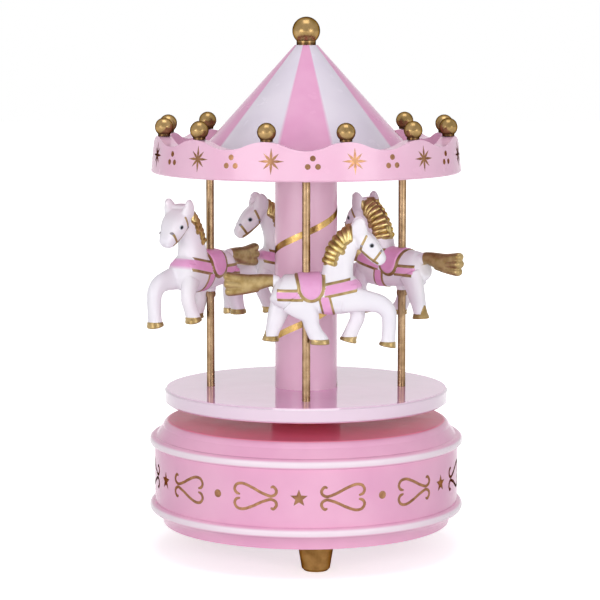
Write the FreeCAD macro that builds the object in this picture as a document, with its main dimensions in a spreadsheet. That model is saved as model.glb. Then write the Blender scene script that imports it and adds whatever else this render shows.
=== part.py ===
import FreeCAD, Part
import math
import os
import Sketcher
from FreeCAD import Placement, Rotation, Vector

# Carousel music box. Millimetres; z = 0 is the table, z is up, the viewer stands at -Y.
# A spring movement in the round base turns the shaft that carries the platform, the
# column, the poles with their horses and the canopy.

doc = FreeCAD.newDocument("carousel_music_box")

DRIVING_SIZES = {
    # fits: radial play of turning shafts, of seated pieces, and the air between moving faces
    "running_gap": 0.05,
    "seat_gap": 0.03,
    "clear_gap": 0.4,
    # room past the end of a screw or pin, end play of a shaft, overlap of joined features
    "tip_gap": 0.5,
    "thrust_gap": 0.1,
    "weld": 0.5,
    "cutter_excess": 3.0,
    # feet
    "foot_height": 9.3,
    "foot_top_radius": 6.0,
    "foot_tip_radius": 4.6,
    "foot_share": 0.71,
    "foot_chamfer": 0.8,
    "foot_screw_bite": 4.6,
    "foot_turn": 5.0,
    # base case
    "pan_setback": 2.8,
    "cove_height": 4.2,
    "cove_radius": 5.9,
    "bead_depth": 1.7,
    "bead_height": 3.4,
    "wall_radius": 50.8,
    "wall_thickness": 2.3,
    "wall_height": 18.7,
    "floor_thickness": 2.5,
    "spigot_height": 3.0,
    "spigot_thickness": 1.8,
    "lid_rise": 8.3,
    "lid_setback": 4.8,
    "lid_edge_radius": 2.6,
    "shoulder_step": 0.5,
    "lid_thickness": 2.5,
    "lid_boss_radius": 8.0,
    "lid_boss_depth": 3.8,
    "post_radius": 2.8,
    "post_inset": 8.8,
    "post_turn": 80.0,
    "post_count": 3,
    "case_screw_bite": 6.0,
    "sound_hole_radius": 2.0,
    "sound_hole_circle": 23.0,
    "sound_hole_count": 5,
    "sound_hole_spread": 100.0,
    # screws
    "screw_radius": 1.2,
    "screw_head_radius": 2.3,
    "screw_head_height": 1.2,
    "small_screw_radius": 0.8,
    "small_screw_head_radius": 1.4,
    "small_screw_head_height": 1.0,
    "movement_screw_circle": 14.5,
    "movement_screw_count": 4,
    # movement plate, spring barrel and mainspring
    "bed_thickness": 2.4,
    "bed_back": 15.0,
    "bed_corner": 2.2,
    "movement_margin": 5.61,
    "barrel_radius": 12.0,
    "barrel_height": 9.4,
    "barrel_wall": 0.8,
    "spring_strip": 0.35,
    "spring_pitch": 0.9,
    "spring_turns": 9,
    "spring_eye_gap": 0.6,
    "spring_side_gap": 0.3,
    # shaft, ratchet and drive wheel
    "shaft_radius": 2.0,
    "shaft_rise": 1.0,
    "pivot_radius": 1.5,
    "bush_radius": 4.5,
    "bush_flange_radius": 7.0,
    "bush_flange": 0.8,
    "drive_teeth": 35,
    "drive_module": 0.8,
    "drive_wheel_thickness": 1.2,
    "drive_tooth_length": 2.2,
    "drive_boss_radius": 4.0,
    "drive_rim": 0.3,
    "ratchet_radius": 5.0,
    "ratchet_depth": 0.8,
    "ratchet_teeth": 12,
    "ratchet_thickness": 1.2,
    "click_length": 6.4,
    "click_gap": 0.15,
    "click_nose": 0.9,
    "click_stand": 1.2,
    "click_width": 2.4,
    "click_pivot_radius": 1.6,
    "click_pivot_rise": 0.5,
    # tune cylinder and its wheels
    "pinion_teeth": 10,
    "pinion_width": 2.0,
    "axle_radius": 0.9,
    "axle_overhang": 0.4,
    "train_gap": 1.1,
    "wheel_gap": 0.7,
    "bearing_thickness": 1.6,
    "bearing_half_width": 4.0,
    "bearing_crest": 3.0,
    "cylinder_radius": 6.2,
    "cylinder_lift": 0.7,
    "pin_radius": 0.2,
    "pin_height": 0.45,
    "pin_root": 0.3,
    "pins_per_note": 3,
    "comb_teeth": 18,
    "comb_thickness": 0.9,
    "comb_tooth_length": 5.6,
    "comb_back": 4.0,
    "comb_slot": 0.22,
    "comb_gap": 0.25,
    "comb_block_setback": 0.3,
    "comb_screw_bite": 2.6,
    "fine_module": 0.5,
    "cylinder_wheel_teeth": 24,
    "fine_width": 1.2,
    # governor
    "governor_pinion_teeth": 8,
    "governor_arbor_radius": 0.7,
    "worm_module": 0.6,
    "worm_wheel_teeth": 15,
    "worm_wheel_width": 1.4,
    "worm_starts": 3,
    "worm_radius": 1.6,
    "worm_length": 6.4,
    "worm_shaft_radius": 0.6,
    "frame_thickness": 1.4,
    "arm_thickness": 1.3,
    "arm_half_width": 1.4,
    "fly_radius": 4.4,
    "fly_height": 5.0,
    "fly_thickness": 0.5,
    "fly_hub_wall": 0.6,
    # turntable
    "hub_radius": 11.5,
    "hub_height": 4.7,
    "hub_spigot_rise": 6.0,
    "hub_screw_circle": 9.7,
    "hub_screw_count": 3,
    "hub_screw_bite": 2.4,
    "hub_well_depth": 1.6,
    "rod_gap": 0.3,
    "platform_radius": 47.4,
    "platform_thickness": 4.8,
    "platform_edge": 0.6,
    "column_radius": 10.4,
    "column_wall": 2.0,
    "column_height": 74.9,
    "tie_rod_radius": 1.5,
    # canopy
    "deck_thickness": 2.5,
    "deck_boss_depth": 5.0,
    "crown_radius": 51.5,
    "crown_taper": 1.2,
    "crown_wall": 4.4,
    "crown_height": 12.4,
    "crown_lip": 2.7,
    "crown_edge": 0.5,
    "crown_wave": 2.8,
    "crown_points": 12,
    "ball_radius": 3.0,
    "ball_neck_radius": 2.0,
    "ball_neck_height": 0.7,
    "ball_pin_radius": 0.8,
    "ball_pin_length": 3.0,
    "cone_foot_radius": 36.8,
    "cone_top_radius": 3.8,
    "cone_height": 36.6,
    "cone_wall": 2.0,
    "finial_radius": 4.6,
    "finial_neck_radius": 3.2,
    "finial_neck_height": 1.4,
    # poles and horses
    "pole_radius": 1.3,
    "pole_inset": 15.4,
    "pole_foot_depth": 2.5,
    "pole_head_depth": 1.2,
    "collar_radius": 1.8,
    "collar_height": 1.8,
    "collar_bevel": 0.15,
    "collar_room": 0.1,
    "horse_length": 56.0,
    "horse_height": 40.8,
    "horse_seat": 27.8,
    "front_lift": 0.0,
    "right_lift": 4.8,
    "back_lift": 3.2,
    "left_lift": 4.3,
    "front_turn": 0.0,
    "right_turn": 45.0,
    "back_turn": 15.0,
    "left_turn": -34.5,
    "trunk_depth": 13.0,
    "trunk_width": 10.8,
    "neck_width": 8.0,
    "head_width": 9.2,
    "leg_width": 5.0,
    "leg_spread": 3.1,
    "tail_width": 4.2,
    "mane_width": 3.2,
    "saddle_rise": 0.5,
    "saddle_length": 9.2,
}

# feet by name, the first at the front; poles by name, with the bearing of each in degrees
FOOT_NAMES = ("front_foot", "rear_right_foot", "rear_left_foot")
FOOT_COUNT = str(len(FOOT_NAMES))
QUARTERS = {"front": -90, "right": 0, "back": 90, "left": 180}
POLE_PLACES = {
    quarter: (f"levels.pole_circle * cos({bearing})", f"levels.pole_circle * sin({bearing})")
    for quarter, bearing in QUARTERS.items()
}

STACKED_LEVELS = {
    "floor_top": "dims.foot_height + dims.floor_thickness",
    "wall_bottom": "dims.foot_height + dims.cove_height + dims.bead_height",
    "wall_top": "levels.wall_bottom + dims.wall_height",
    "wall_inside": "dims.wall_radius - dims.wall_thickness",
    "pan_foot_radius": "dims.wall_radius - dims.pan_setback",
    "lid_flat_radius": "dims.wall_radius - dims.lid_setback",
    "foot_circle": "dims.wall_radius * dims.foot_share",
    "post_circle": "dims.wall_radius - dims.post_inset",
    "post_x": "levels.post_circle * cos(dims.post_turn)",
    "post_y": "levels.post_circle * sin(dims.post_turn)",
    "lid_top": "levels.wall_top + dims.lid_rise",
    "hub_bottom": "levels.lid_top + dims.bush_flange + dims.clear_gap",
    "platform_bottom": "levels.hub_bottom + dims.hub_height",
    "platform_top": "levels.platform_bottom + dims.platform_thickness",
    "pole_circle": "dims.platform_radius - dims.pole_inset",
    "deck_bottom": "levels.platform_top + dims.column_height",
    "deck_top": "levels.deck_bottom + dims.deck_thickness",
    "crown_bottom": "levels.deck_bottom - dims.crown_lip",
    "crown_inside": "dims.crown_radius - dims.crown_taper - dims.crown_wall",
    "column_inside": "dims.column_radius - dims.column_wall",
    "cone_top": "levels.deck_top + dims.cone_height",
    "bed_top": "levels.floor_top + dims.bed_thickness",
    "pinion_pitch": "dims.drive_module * dims.pinion_teeth / 2",
    "drive_pitch": "dims.drive_module * dims.drive_teeth / 2",
    "cylinder_axis": "levels.bed_top + dims.cylinder_radius + dims.cylinder_lift",
    "mesh_plane": "levels.cylinder_axis + levels.pinion_pitch",
    "drive_disc": "levels.mesh_plane + 1.1 * dims.drive_module",
    "barrel_top": "levels.bed_top + dims.barrel_height",
    "ratchet_bottom": "levels.drive_disc + dims.drive_wheel_thickness",
    "pinion_start": "levels.drive_pitch - dims.pinion_width / 2",
    "inner_bearing": "levels.drive_pitch + dims.drive_tooth_length / 2 + dims.train_gap",
    "cylinder_start": "levels.inner_bearing + dims.bearing_thickness + dims.train_gap",
    "bed_front": "levels.wall_inside - dims.spigot_thickness - dims.movement_margin",
    "frame_start": "levels.bed_front - dims.clear_gap - dims.frame_thickness",
    "worm_x": "levels.frame_start - dims.clear_gap - 0.65 * dims.worm_module - dims.worm_radius",
    "worm_wheel_start": "levels.worm_x - dims.worm_wheel_width / 2",
    "outer_bearing": "levels.worm_wheel_start - dims.train_gap - dims.bearing_thickness",
    "wheel_start": "levels.outer_bearing - dims.wheel_gap - dims.fine_width",
    "cylinder_end": "levels.wheel_start - dims.wheel_gap",
    "cylinder_length": "levels.cylinder_end - levels.cylinder_start",
    "governor_y": "dims.fine_module * (dims.cylinder_wheel_teeth + dims.governor_pinion_teeth) / 2",
    "worm_wheel_pitch": "dims.worm_module * dims.worm_wheel_teeth / 2",
    "worm_y": "levels.governor_y + levels.worm_wheel_pitch + dims.worm_radius",
    "arm_bottom": "levels.cylinder_axis + dims.worm_length / 2 + dims.wheel_gap",
    "fly_bottom": "levels.arm_bottom + dims.arm_thickness + dims.wheel_gap",
    "comb_tip": "dims.cylinder_radius + dims.pin_height + dims.comb_gap",
    "comb_root": "levels.comb_tip + dims.comb_tooth_length",
    "comb_end": "levels.comb_root + dims.comb_back",
    "bed_comb_side": "levels.comb_end + dims.clear_gap",
    "bed_governor_side": "levels.worm_y + dims.arm_half_width",
}


def new_sheet(name, cells):
    sheet = doc.addObject("Spreadsheet::Sheet", name)
    for row, (alias, content) in enumerate(cells.items(), start=1):
        sheet.set(f"A{row}", alias)
        sheet.set(f"B{row}", content)
        sheet.setAlias(f"B{row}", alias)
    return sheet


dims = new_sheet("dims", {alias: str(value) for alias, value in DRIVING_SIZES.items()})
levels = new_sheet("levels", {alias: "=" + formula for alias, formula in STACKED_LEVELS.items()})
doc.recompute()


def size(expression):
    value = levels.evalExpression(expression)
    return float(getattr(value, "Value", value))


# A body turned so that its own z lies along the world's x, its x along y and its y along z.
ALONG_X = Rotation(Vector(1, 1, 1), 120)


def new_body(label, x="0", y="0", z="0", rotation=Rotation()):
    body = doc.addObject("PartDesign::Body", label)
    body.Placement = Placement(Vector(), rotation)
    for axis, expression in zip("xyz", (x, y, z)):
        body.setExpression("Placement.Base." + axis, expression)
    return body


def origin_part(body, role):
    return next(part for part in body.Origin.OriginFeatures if part.Role == role)


def new_sketch(body, plane, lift="0", shift="0"):
    sketch = body.newObject("Sketcher::SketchObject", body.Name + "_sketch")
    sketch.AttachmentSupport = [(origin_part(body, plane), "")]
    sketch.MapMode = "FlatFace"
    sketch.setExpression("AttachmentOffset.Base.z", lift)
    sketch.setExpression("AttachmentOffset.Base.x", shift)
    return sketch


def bind_point(sketch, geometry, end, u, v):
    """Hold a point at (u, v) from the sketch origin with two bound dimensions."""
    for kind, axis, expression in (("DistanceX", -2, u), ("DistanceY", -1, v)):
        value = size(expression)
        if abs(value) < 1e-9:
            sketch.addConstraint(Sketcher.Constraint("PointOnObject", geometry, end, axis))
        elif value > 0:
            index = sketch.addConstraint(Sketcher.Constraint(kind, -1, 1, geometry, end, value))
            sketch.setExpression(f"Constraints[{index}]", expression)
        else:
            index = sketch.addConstraint(Sketcher.Constraint(kind, geometry, end, -1, 1, -value))
            sketch.setExpression(f"Constraints[{index}]", f"-({expression})")


def draw_circle(sketch, radius, u="0", v="0"):
    centre = Vector(size(u), size(v), 0)
    geometry = sketch.addGeometry(Part.Circle(centre, Vector(0, 0, 1), size(radius)), False)
    bind_point(sketch, geometry, 3, u, v)
    index = sketch.addConstraint(Sketcher.Constraint("Radius", geometry, size(radius)))
    sketch.setExpression(f"Constraints[{index}]", radius)


def draw_outline(sketch, corners):
    """Closed outline. A corner (u, v, radius, side) starts an arc that bulges to that side."""
    points = [Vector(size(corner[0]), size(corner[1]), 0) for corner in corners]
    edges = []
    for corner, start, end in zip(corners, points, points[1:] + points[:1]):
        if len(corner) == 2:
            edges.append((sketch.addGeometry(Part.LineSegment(start, end), False), 1, 2))
            continue
        radius = size(corner[2])
        chord = end - start
        left = Vector(-chord.y, chord.x, 0).normalize()
        sign = 1 if corner[3] == "left" else -1
        rise = math.sqrt(max(radius ** 2 - (chord.Length / 2) ** 2, 0))
        middle = (start + end) / 2 + left * (sign * (radius - rise))
        ends = (end, start) if sign > 0 else (start, end)
        geometry = sketch.addGeometry(Part.Arc(ends[0], middle, ends[1]), False)
        index = sketch.addConstraint(Sketcher.Constraint("Radius", geometry, radius))
        sketch.setExpression(f"Constraints[{index}]", corner[2])
        edges.append((geometry, 2, 1) if sign > 0 else (geometry, 1, 2))
    for (geometry, _, last), (following, first, _) in zip(edges, edges[1:] + edges[:1]):
        sketch.addConstraint(Sketcher.Constraint("Coincident", geometry, last, following, first))
    for corner, (geometry, first, _) in zip(corners, edges):
        bind_point(sketch, geometry, first, corner[0], corner[1])


def revolve(body, corners, off_axis="0"):
    sketch = new_sketch(body, "XZ_Plane", shift=off_axis)
    draw_outline(sketch, corners)
    feature = body.newObject("PartDesign::Revolution", body.Name + "_turned")
    feature.Profile = sketch
    feature.ReferenceAxis = (sketch, ["V_Axis"])
    feature.Angle = 360
    body.Tip = feature
    return feature


def extrude(body, kind, sketch, length, reverse=False):
    feature = body.newObject("PartDesign::" + kind, body.Name + "_" + kind.lower())
    feature.Profile = sketch
    feature.setExpression("Length", length)
    feature.Reversed = reverse
    body.Tip = feature
    return feature


def pad(body, corners, length, lift="0", plane="XY_Plane", reverse=False):
    sketch = new_sketch(body, plane, lift)
    draw_outline(sketch, corners)
    return extrude(body, "Pad", sketch, length, reverse)


def pad_round(body, radius, length, lift="0", u="0", v="0"):
    sketch = new_sketch(body, "XY_Plane", lift)
    draw_circle(sketch, radius, u, v)
    return extrude(body, "Pad", sketch, length)


def drill(body, radius, depth, lift, u="0", v="0", plane="XY_Plane", reverse=False):
    """Round hole cut from the height given by lift against the plane's normal."""
    sketch = new_sketch(body, plane, lift)
    draw_circle(sketch, radius, u, v)
    return extrude(body, "Pocket", sketch, depth, reverse)


def around(body, feature, count, angle="360"):
    pattern = body.newObject("PartDesign::PolarPattern", body.Name + "_ring")
    pattern.Originals = [feature]
    pattern.Axis = (origin_part(body, "Z_Axis"), [""])
    pattern.setExpression("Angle", angle)
    pattern.setExpression("Occurrences", count)
    body.Tip = pattern


def along(body, feature, count, length, axis="X_Axis"):
    pattern = body.newObject("PartDesign::LinearPattern", body.Name + "_row")
    pattern.Originals = [feature]
    pattern.Direction = (origin_part(body, axis), [""])
    pattern.setExpression("Length", length)
    pattern.setExpression("Occurrences", count)
    body.Tip = pattern


def box_corners(left, right, low, high):
    return [(left, low), (right, low), (right, high), (left, high)]


def half_bead(start_z, end_z):
    """Two arcs from one height to the other that bulge by the bead's depth past the wall."""
    tip = "dims.wall_radius + dims.bead_depth"
    half = "dims.bead_height / 2"
    radius = f"(({half})^2 + dims.bead_depth^2) / ({half} + dims.bead_depth)"
    middle = f"(({start_z}) + ({end_z})) / 2"
    return [("dims.wall_radius", start_z, radius, "right"), (tip, middle, radius, "right")]


# Feet: turned cones under the pan, each with a blind hole for its screw.
shank_hole = "dims.screw_radius + dims.seat_gap"
for number, label in enumerate(FOOT_NAMES):
    bearing = f"dims.foot_turn - 90 + {number} * 360 / {FOOT_COUNT}"
    foot = new_body(label, f"levels.foot_circle * cos({bearing})", f"levels.foot_circle * sin({bearing})")
    revolve(foot, [
        ("0", "0"), ("dims.foot_tip_radius - dims.foot_chamfer", "0"),
        ("dims.foot_tip_radius", "dims.foot_chamfer"),
        ("dims.foot_top_radius", "dims.foot_height"), ("0", "dims.foot_height"),
    ])
    drill(foot, shank_hole, "dims.foot_screw_bite + dims.tip_gap", "dims.foot_height")


def screw_ring(label, count, circle, turn, head_z, shank, head_up=True, small=False):
    """Equal pan-head screws on a circle; head_z is the height of the seat under the head."""
    kind = "small_screw" if small else "screw"
    sign = "1" if head_up else "-1"
    body = new_body(label, z=head_z, rotation=Rotation(Vector(0, 0, 1), size(turn)))
    head = f"{sign} * dims.{kind}_head_height"
    turned = revolve(body, [
        ("0", head), (f"dims.{kind}_head_radius * 0.8", head),
        (f"dims.{kind}_head_radius", f"{head} * 0.5"), (f"dims.{kind}_head_radius", "0"),
        (f"dims.{kind}_radius", "0"), (f"dims.{kind}_radius", f"-{sign} * ({shank})"),
        ("0", f"-{sign} * ({shank})"),
    ], circle)
    around(body, turned, count)


screw_ring("foot_screws", FOOT_COUNT, "levels.foot_circle", "dims.foot_turn - 90",
           "levels.floor_top", "dims.floor_thickness + dims.foot_screw_bite")

# Base pan: floor, cove and lower bead, with a spigot that the wall slides over.
pan = new_body("base_pan", z="dims.foot_height")
pan_inside = "levels.pan_foot_radius - dims.wall_thickness"
bead_low = "dims.cove_height"
bead_high = "dims.cove_height + dims.bead_height"
spigot_outside = "levels.wall_inside - dims.seat_gap"
revolve(pan, [
    ("0", "0"), ("levels.pan_foot_radius", "0", "dims.cove_radius", "left"),
    *half_bead(bead_low, bead_high),
    ("dims.wall_radius", bead_high), (spigot_outside, bead_high),
    (spigot_outside, bead_high + " + dims.spigot_height"),
    (pan_inside, bead_high + " + dims.spigot_height"),
    (pan_inside, "dims.floor_thickness"), ("0", "dims.floor_thickness"),
])
foot_x = "levels.foot_circle * cos(dims.foot_turn - 90)"
foot_y = "levels.foot_circle * sin(dims.foot_turn - 90)"
foot_holes = drill(pan, shank_hole, "dims.floor_thickness", "dims.floor_thickness", foot_x, foot_y)
around(pan, foot_holes, FOOT_COUNT)
case_holes = drill(pan, shank_hole, "dims.floor_thickness", "dims.floor_thickness",
                   "levels.post_x", "levels.post_y")
around(pan, case_holes, "dims.post_count")
bed_holes = drill(pan, shank_hole, "dims.floor_thickness", "dims.floor_thickness",
                  "dims.movement_screw_circle * cos(45)", "dims.movement_screw_circle * sin(45)")
around(pan, bed_holes, "dims.movement_screw_count")
sound_start = "180 - dims.sound_hole_spread / 2"
sound_holes = drill(pan, "dims.sound_hole_radius", "dims.floor_thickness", "dims.floor_thickness",
                    f"dims.sound_hole_circle * cos({sound_start})",
                    f"dims.sound_hole_circle * sin({sound_start})")
around(pan, sound_holes, "dims.sound_hole_count", "dims.sound_hole_spread")

# Base wall: plain tube between pan and lid.
wall = new_body("base_wall", z="levels.wall_bottom")
revolve(wall, [
    ("levels.wall_inside", "0"), ("dims.wall_radius", "0"),
    ("dims.wall_radius", "dims.wall_height"), ("levels.wall_inside", "dims.wall_height"),
])

# Base lid: upper bead, sloping shoulder and flat top, a boss for the bush and three screw posts.
lid = new_body("base_lid", z="levels.wall_top")
bush_hole = "dims.bush_radius + dims.seat_gap"
spigot_inside = spigot_outside + " - dims.spigot_thickness"
underside = "dims.lid_rise - dims.lid_thickness"
shoulder_foot = "dims.wall_radius - dims.shoulder_step"
revolve(lid, [
    (bush_hole, "dims.lid_rise"), (bush_hole, f"{underside} - dims.lid_boss_depth"),
    ("dims.lid_boss_radius", f"{underside} - dims.lid_boss_depth"),
    ("dims.lid_boss_radius", underside),
    ("levels.lid_flat_radius - dims.lid_thickness", underside),
    (spigot_inside, "dims.bead_height * 0.7"), (spigot_inside, "-dims.spigot_height"),
    (spigot_outside, "-dims.spigot_height"), (spigot_outside, "0"),
    *half_bead("0", "dims.bead_height"),
    ("dims.wall_radius", "dims.bead_height"), (shoulder_foot, "dims.bead_height"),
    ("levels.lid_flat_radius + 0.8 * dims.lid_edge_radius", "dims.lid_rise - 0.75 * dims.lid_edge_radius",
     "dims.lid_edge_radius", "right"),
    ("levels.lid_flat_radius", "dims.lid_rise"),
])
post_length = f"levels.wall_top + {underside} - levels.floor_top"
posts = pad_round(lid, "dims.post_radius", f"{post_length} + dims.weld", "levels.floor_top - levels.wall_top",
                  "levels.post_x", "levels.post_y")
around(lid, posts, "dims.post_count")
post_holes = drill(lid, shank_hole, "dims.case_screw_bite + dims.tip_gap",
                   "levels.floor_top - levels.wall_top", "levels.post_x", "levels.post_y", reverse=True)
around(lid, post_holes, "dims.post_count")
screw_ring("case_screws", "dims.post_count", "levels.post_circle", "dims.post_turn", "dims.foot_height",
           "dims.floor_thickness + dims.case_screw_bite", head_up=False)

# Bush: flanged sleeve in the lid in which the drive shaft turns.
bush = new_body("shaft_bush", z="levels.lid_top")
bush_length = "dims.lid_thickness + dims.lid_boss_depth"
revolve(bush, [
    ("dims.shaft_radius + dims.running_gap", f"-({bush_length})"), ("dims.bush_radius", f"-({bush_length})"),
    ("dims.bush_radius", "0"), ("dims.bush_flange_radius", "0"),
    ("dims.bush_flange_radius", "dims.bush_flange"),
    ("dims.shaft_radius + dims.running_gap", "dims.bush_flange"),
])

# Bedplate of the movement, screwed to the floor from below.
bed = new_body("movement_bedplate", z="levels.floor_top")
pad(bed, [
    ("-dims.bed_back", "-levels.bed_comb_side"),
    ("levels.bed_front - dims.bed_corner", "-levels.bed_comb_side"),
    ("levels.bed_front", "-levels.bed_comb_side + dims.bed_corner"),
    ("levels.bed_front", "levels.bed_governor_side - dims.bed_corner"),
    ("levels.bed_front - dims.bed_corner", "levels.bed_governor_side"),
    ("-dims.bed_back", "levels.bed_governor_side"),
], "dims.bed_thickness")
drill(bed, "dims.pivot_radius + dims.running_gap", "dims.bed_thickness", "dims.bed_thickness")
thread_holes = drill(bed, shank_hole, "dims.bed_thickness", "dims.bed_thickness",
                     "dims.movement_screw_circle * cos(45)", "dims.movement_screw_circle * sin(45)")
around(bed, thread_holes, "dims.movement_screw_count")
screw_ring("movement_screws", "dims.movement_screw_count", "dims.movement_screw_circle", "45",
           "dims.foot_height", "dims.floor_thickness + dims.bed_thickness * 0.8", head_up=False)

# Spring barrel, its cover and the coiled mainspring between them.
barrel = new_body("spring_barrel", z="levels.bed_top")
cup_height = "dims.barrel_height - dims.barrel_wall"
shaft_way = "dims.shaft_radius + dims.clear_gap"
revolve(barrel, [
    (shaft_way, "0"), ("dims.barrel_radius", "0"), ("dims.barrel_radius", cup_height),
    ("dims.barrel_radius - dims.barrel_wall", cup_height),
    ("dims.barrel_radius - dims.barrel_wall", "dims.barrel_wall"), (shaft_way, "dims.barrel_wall"),
])
cover = new_body("barrel_cover", z=f"levels.bed_top + {cup_height}")
revolve(cover, [
    (shaft_way, "0"), ("dims.barrel_radius", "0"),
    ("dims.barrel_radius", "dims.barrel_wall"), (shaft_way, "dims.barrel_wall"),
])


def half_turns(first_radius, pitch, count):
    """Spiral of half circles about two centres a quarter pitch either side of the axis."""
    arcs = []
    for number in range(count):
        side = 1 if number % 2 == 0 else -1
        centre = Vector(-side * pitch / 4, 0, 0)
        radius = first_radius + number * pitch / 2
        arcs.append(Part.Arc(centre + Vector(side * radius, 0, 0), centre + Vector(0, side * radius, 0),
                             centre - Vector(side * radius, 0, 0)).toShape())
    return arcs


strip = size("dims.spring_strip")
coil_pitch = size("dims.spring_pitch")
coil_start = size("dims.shaft_radius + dims.spring_eye_gap")
side_gap = size("dims.spring_side_gap")
coil_room = size("dims.barrel_radius - dims.barrel_wall") - coil_start - strip - side_gap
coil_halves = 2 * int(min(size("dims.spring_turns"), coil_room / coil_pitch))
inner_arcs = half_turns(coil_start, coil_pitch, coil_halves)
outer_arcs = half_turns(coil_start + strip, coil_pitch, coil_halves)
coil_ends = [
    Part.makeLine(inner_arcs[0].firstVertex(True).Point, outer_arcs[0].firstVertex(True).Point),
    Part.makeLine(inner_arcs[-1].lastVertex(True).Point, outer_arcs[-1].lastVertex(True).Point),
]
coil_wire = Part.Wire(Part.__sortEdges__(inner_arcs + outer_arcs + coil_ends))
coil_height = size(f"{cup_height} - dims.barrel_wall") - 2 * side_gap
mainspring = doc.addObject("Part::Feature", "mainspring")
mainspring.Shape = Part.Face(coil_wire).extrude(Vector(0, 0, coil_height))
mainspring.Placement.Base = Vector(0, 0, size("levels.bed_top + dims.barrel_wall") + side_gap)

# Drive shaft: pivots in the bedplate, turns in the bush and carries the turntable.
shaft = new_body("drive_shaft")
shaft_top = "levels.platform_bottom + dims.shaft_rise"
pivot_bottom = "levels.floor_top + dims.tip_gap"
shoulder = "levels.bed_top + dims.thrust_gap"
revolve(shaft, [
    ("0", pivot_bottom), ("dims.pivot_radius", pivot_bottom), ("dims.pivot_radius", shoulder),
    ("dims.shaft_radius", shoulder), ("dims.shaft_radius", shaft_top), ("0", shaft_top),
])

# Drive wheel: crown wheel on the shaft, its teeth point down to the cylinder's pinion.
drive_wheel = new_body("drive_wheel")
shaft_seat = "dims.shaft_radius + dims.seat_gap"
drive_edge = "levels.drive_pitch + dims.drive_tooth_length / 2 + dims.drive_rim"
drive_hub_bottom = "levels.barrel_top + dims.clear_gap"
revolve(drive_wheel, [
    (shaft_seat, drive_hub_bottom), ("dims.drive_boss_radius", drive_hub_bottom),
    ("dims.drive_boss_radius", "levels.drive_disc"), (drive_edge, "levels.drive_disc"),
    (drive_edge, "levels.ratchet_bottom"), (shaft_seat, "levels.ratchet_bottom"),
])
drive_tooth = pad(
    drive_wheel,
    box_corners("levels.drive_pitch - dims.drive_tooth_length / 2",
                "levels.drive_pitch + dims.drive_tooth_length / 2",
                "-0.5 * dims.drive_module", "0.5 * dims.drive_module"),
    "2.1 * dims.drive_module", "levels.drive_disc", reverse=True)
around(drive_wheel, drive_tooth, "dims.drive_teeth")

# Ratchet wheel on the shaft and the click on the drive wheel that catches it.
ratchet = new_body("ratchet_wheel", z="levels.ratchet_bottom + dims.seat_gap")
ratchet_root = "dims.ratchet_radius - dims.ratchet_depth"
pad_round(ratchet, ratchet_root, "dims.ratchet_thickness")
step = "360 / dims.ratchet_teeth"
ratchet_tooth = pad(ratchet, [
    (f"({ratchet_root}) * 0.9", "0"), ("dims.ratchet_radius", "0"),
    (f"({ratchet_root}) * cos({step})", f"({ratchet_root}) * sin({step})"),
    (f"({ratchet_root}) * 0.9 * cos({step})", f"({ratchet_root}) * 0.9 * sin({step})"),
], "dims.ratchet_thickness")
around(ratchet, ratchet_tooth, "dims.ratchet_teeth")
drill(ratchet, shaft_seat, "dims.ratchet_thickness", "dims.ratchet_thickness")

click = new_body("click", z="levels.ratchet_bottom + dims.seat_gap")
click_inside = "dims.ratchet_radius + dims.click_stand"
pad(click, [
    ("dims.ratchet_radius - dims.ratchet_depth * 0.6", "-dims.click_gap"),
    (click_inside, "-dims.click_length"), (f"{click_inside} + dims.click_width", "-dims.click_length"),
    ("dims.ratchet_radius + dims.click_nose", "-dims.click_gap"),
], "dims.ratchet_thickness")
pad_round(click, "dims.click_pivot_radius", "dims.ratchet_thickness + dims.click_pivot_rise",
          u=f"{click_inside} + dims.click_width / 2", v="-dims.click_length")


def toothed_body(label, teeth, module, width, x, phase, y="0", bore="0"):
    """Spur wheel along the world's x; phase turns a tooth from the +y direction toward +z."""
    turn = ALONG_X * Rotation(Vector(0, 0, 1), size(phase))
    body = new_body(label, x, y, "levels.cylinder_axis", turn)
    pitch = f"({module} * {teeth} / 2)"
    root = f"{pitch} - 1.25 * {module}"
    tip = f"{pitch} + 0.9 * {module}"
    pad_round(body, root, width)
    tooth = pad(body, [
        (f"({root}) - 0.25 * {module}", f"-0.72 * {module}"), (tip, f"-0.28 * {module}"),
        (tip, f"0.28 * {module}"), (f"({root}) - 0.25 * {module}", f"0.72 * {module}"),
    ], width)
    around(body, tooth, teeth)
    drill(body, bore, width, width)


# Tune cylinder: pinned barrel, axle, pinion under the drive wheel and wheel to the governor.
axle_seat = "dims.axle_radius + dims.seat_gap"
toothed_body("cylinder_pinion", "dims.pinion_teeth", "dims.drive_module", "dims.pinion_width",
             "levels.pinion_start", "90 - 180 / dims.pinion_teeth", bore=axle_seat)
toothed_body("cylinder_wheel", "dims.cylinder_wheel_teeth", "dims.fine_module", "dims.fine_width",
             "levels.wheel_start", "0", bore=axle_seat)
axle = new_body("cylinder_axle", "levels.pinion_start - dims.axle_overhang", z="levels.cylinder_axis",
                rotation=ALONG_X)
pad_round(axle, "dims.axle_radius",
          "levels.outer_bearing + dims.bearing_thickness - levels.pinion_start + 2 * dims.axle_overhang")

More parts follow.
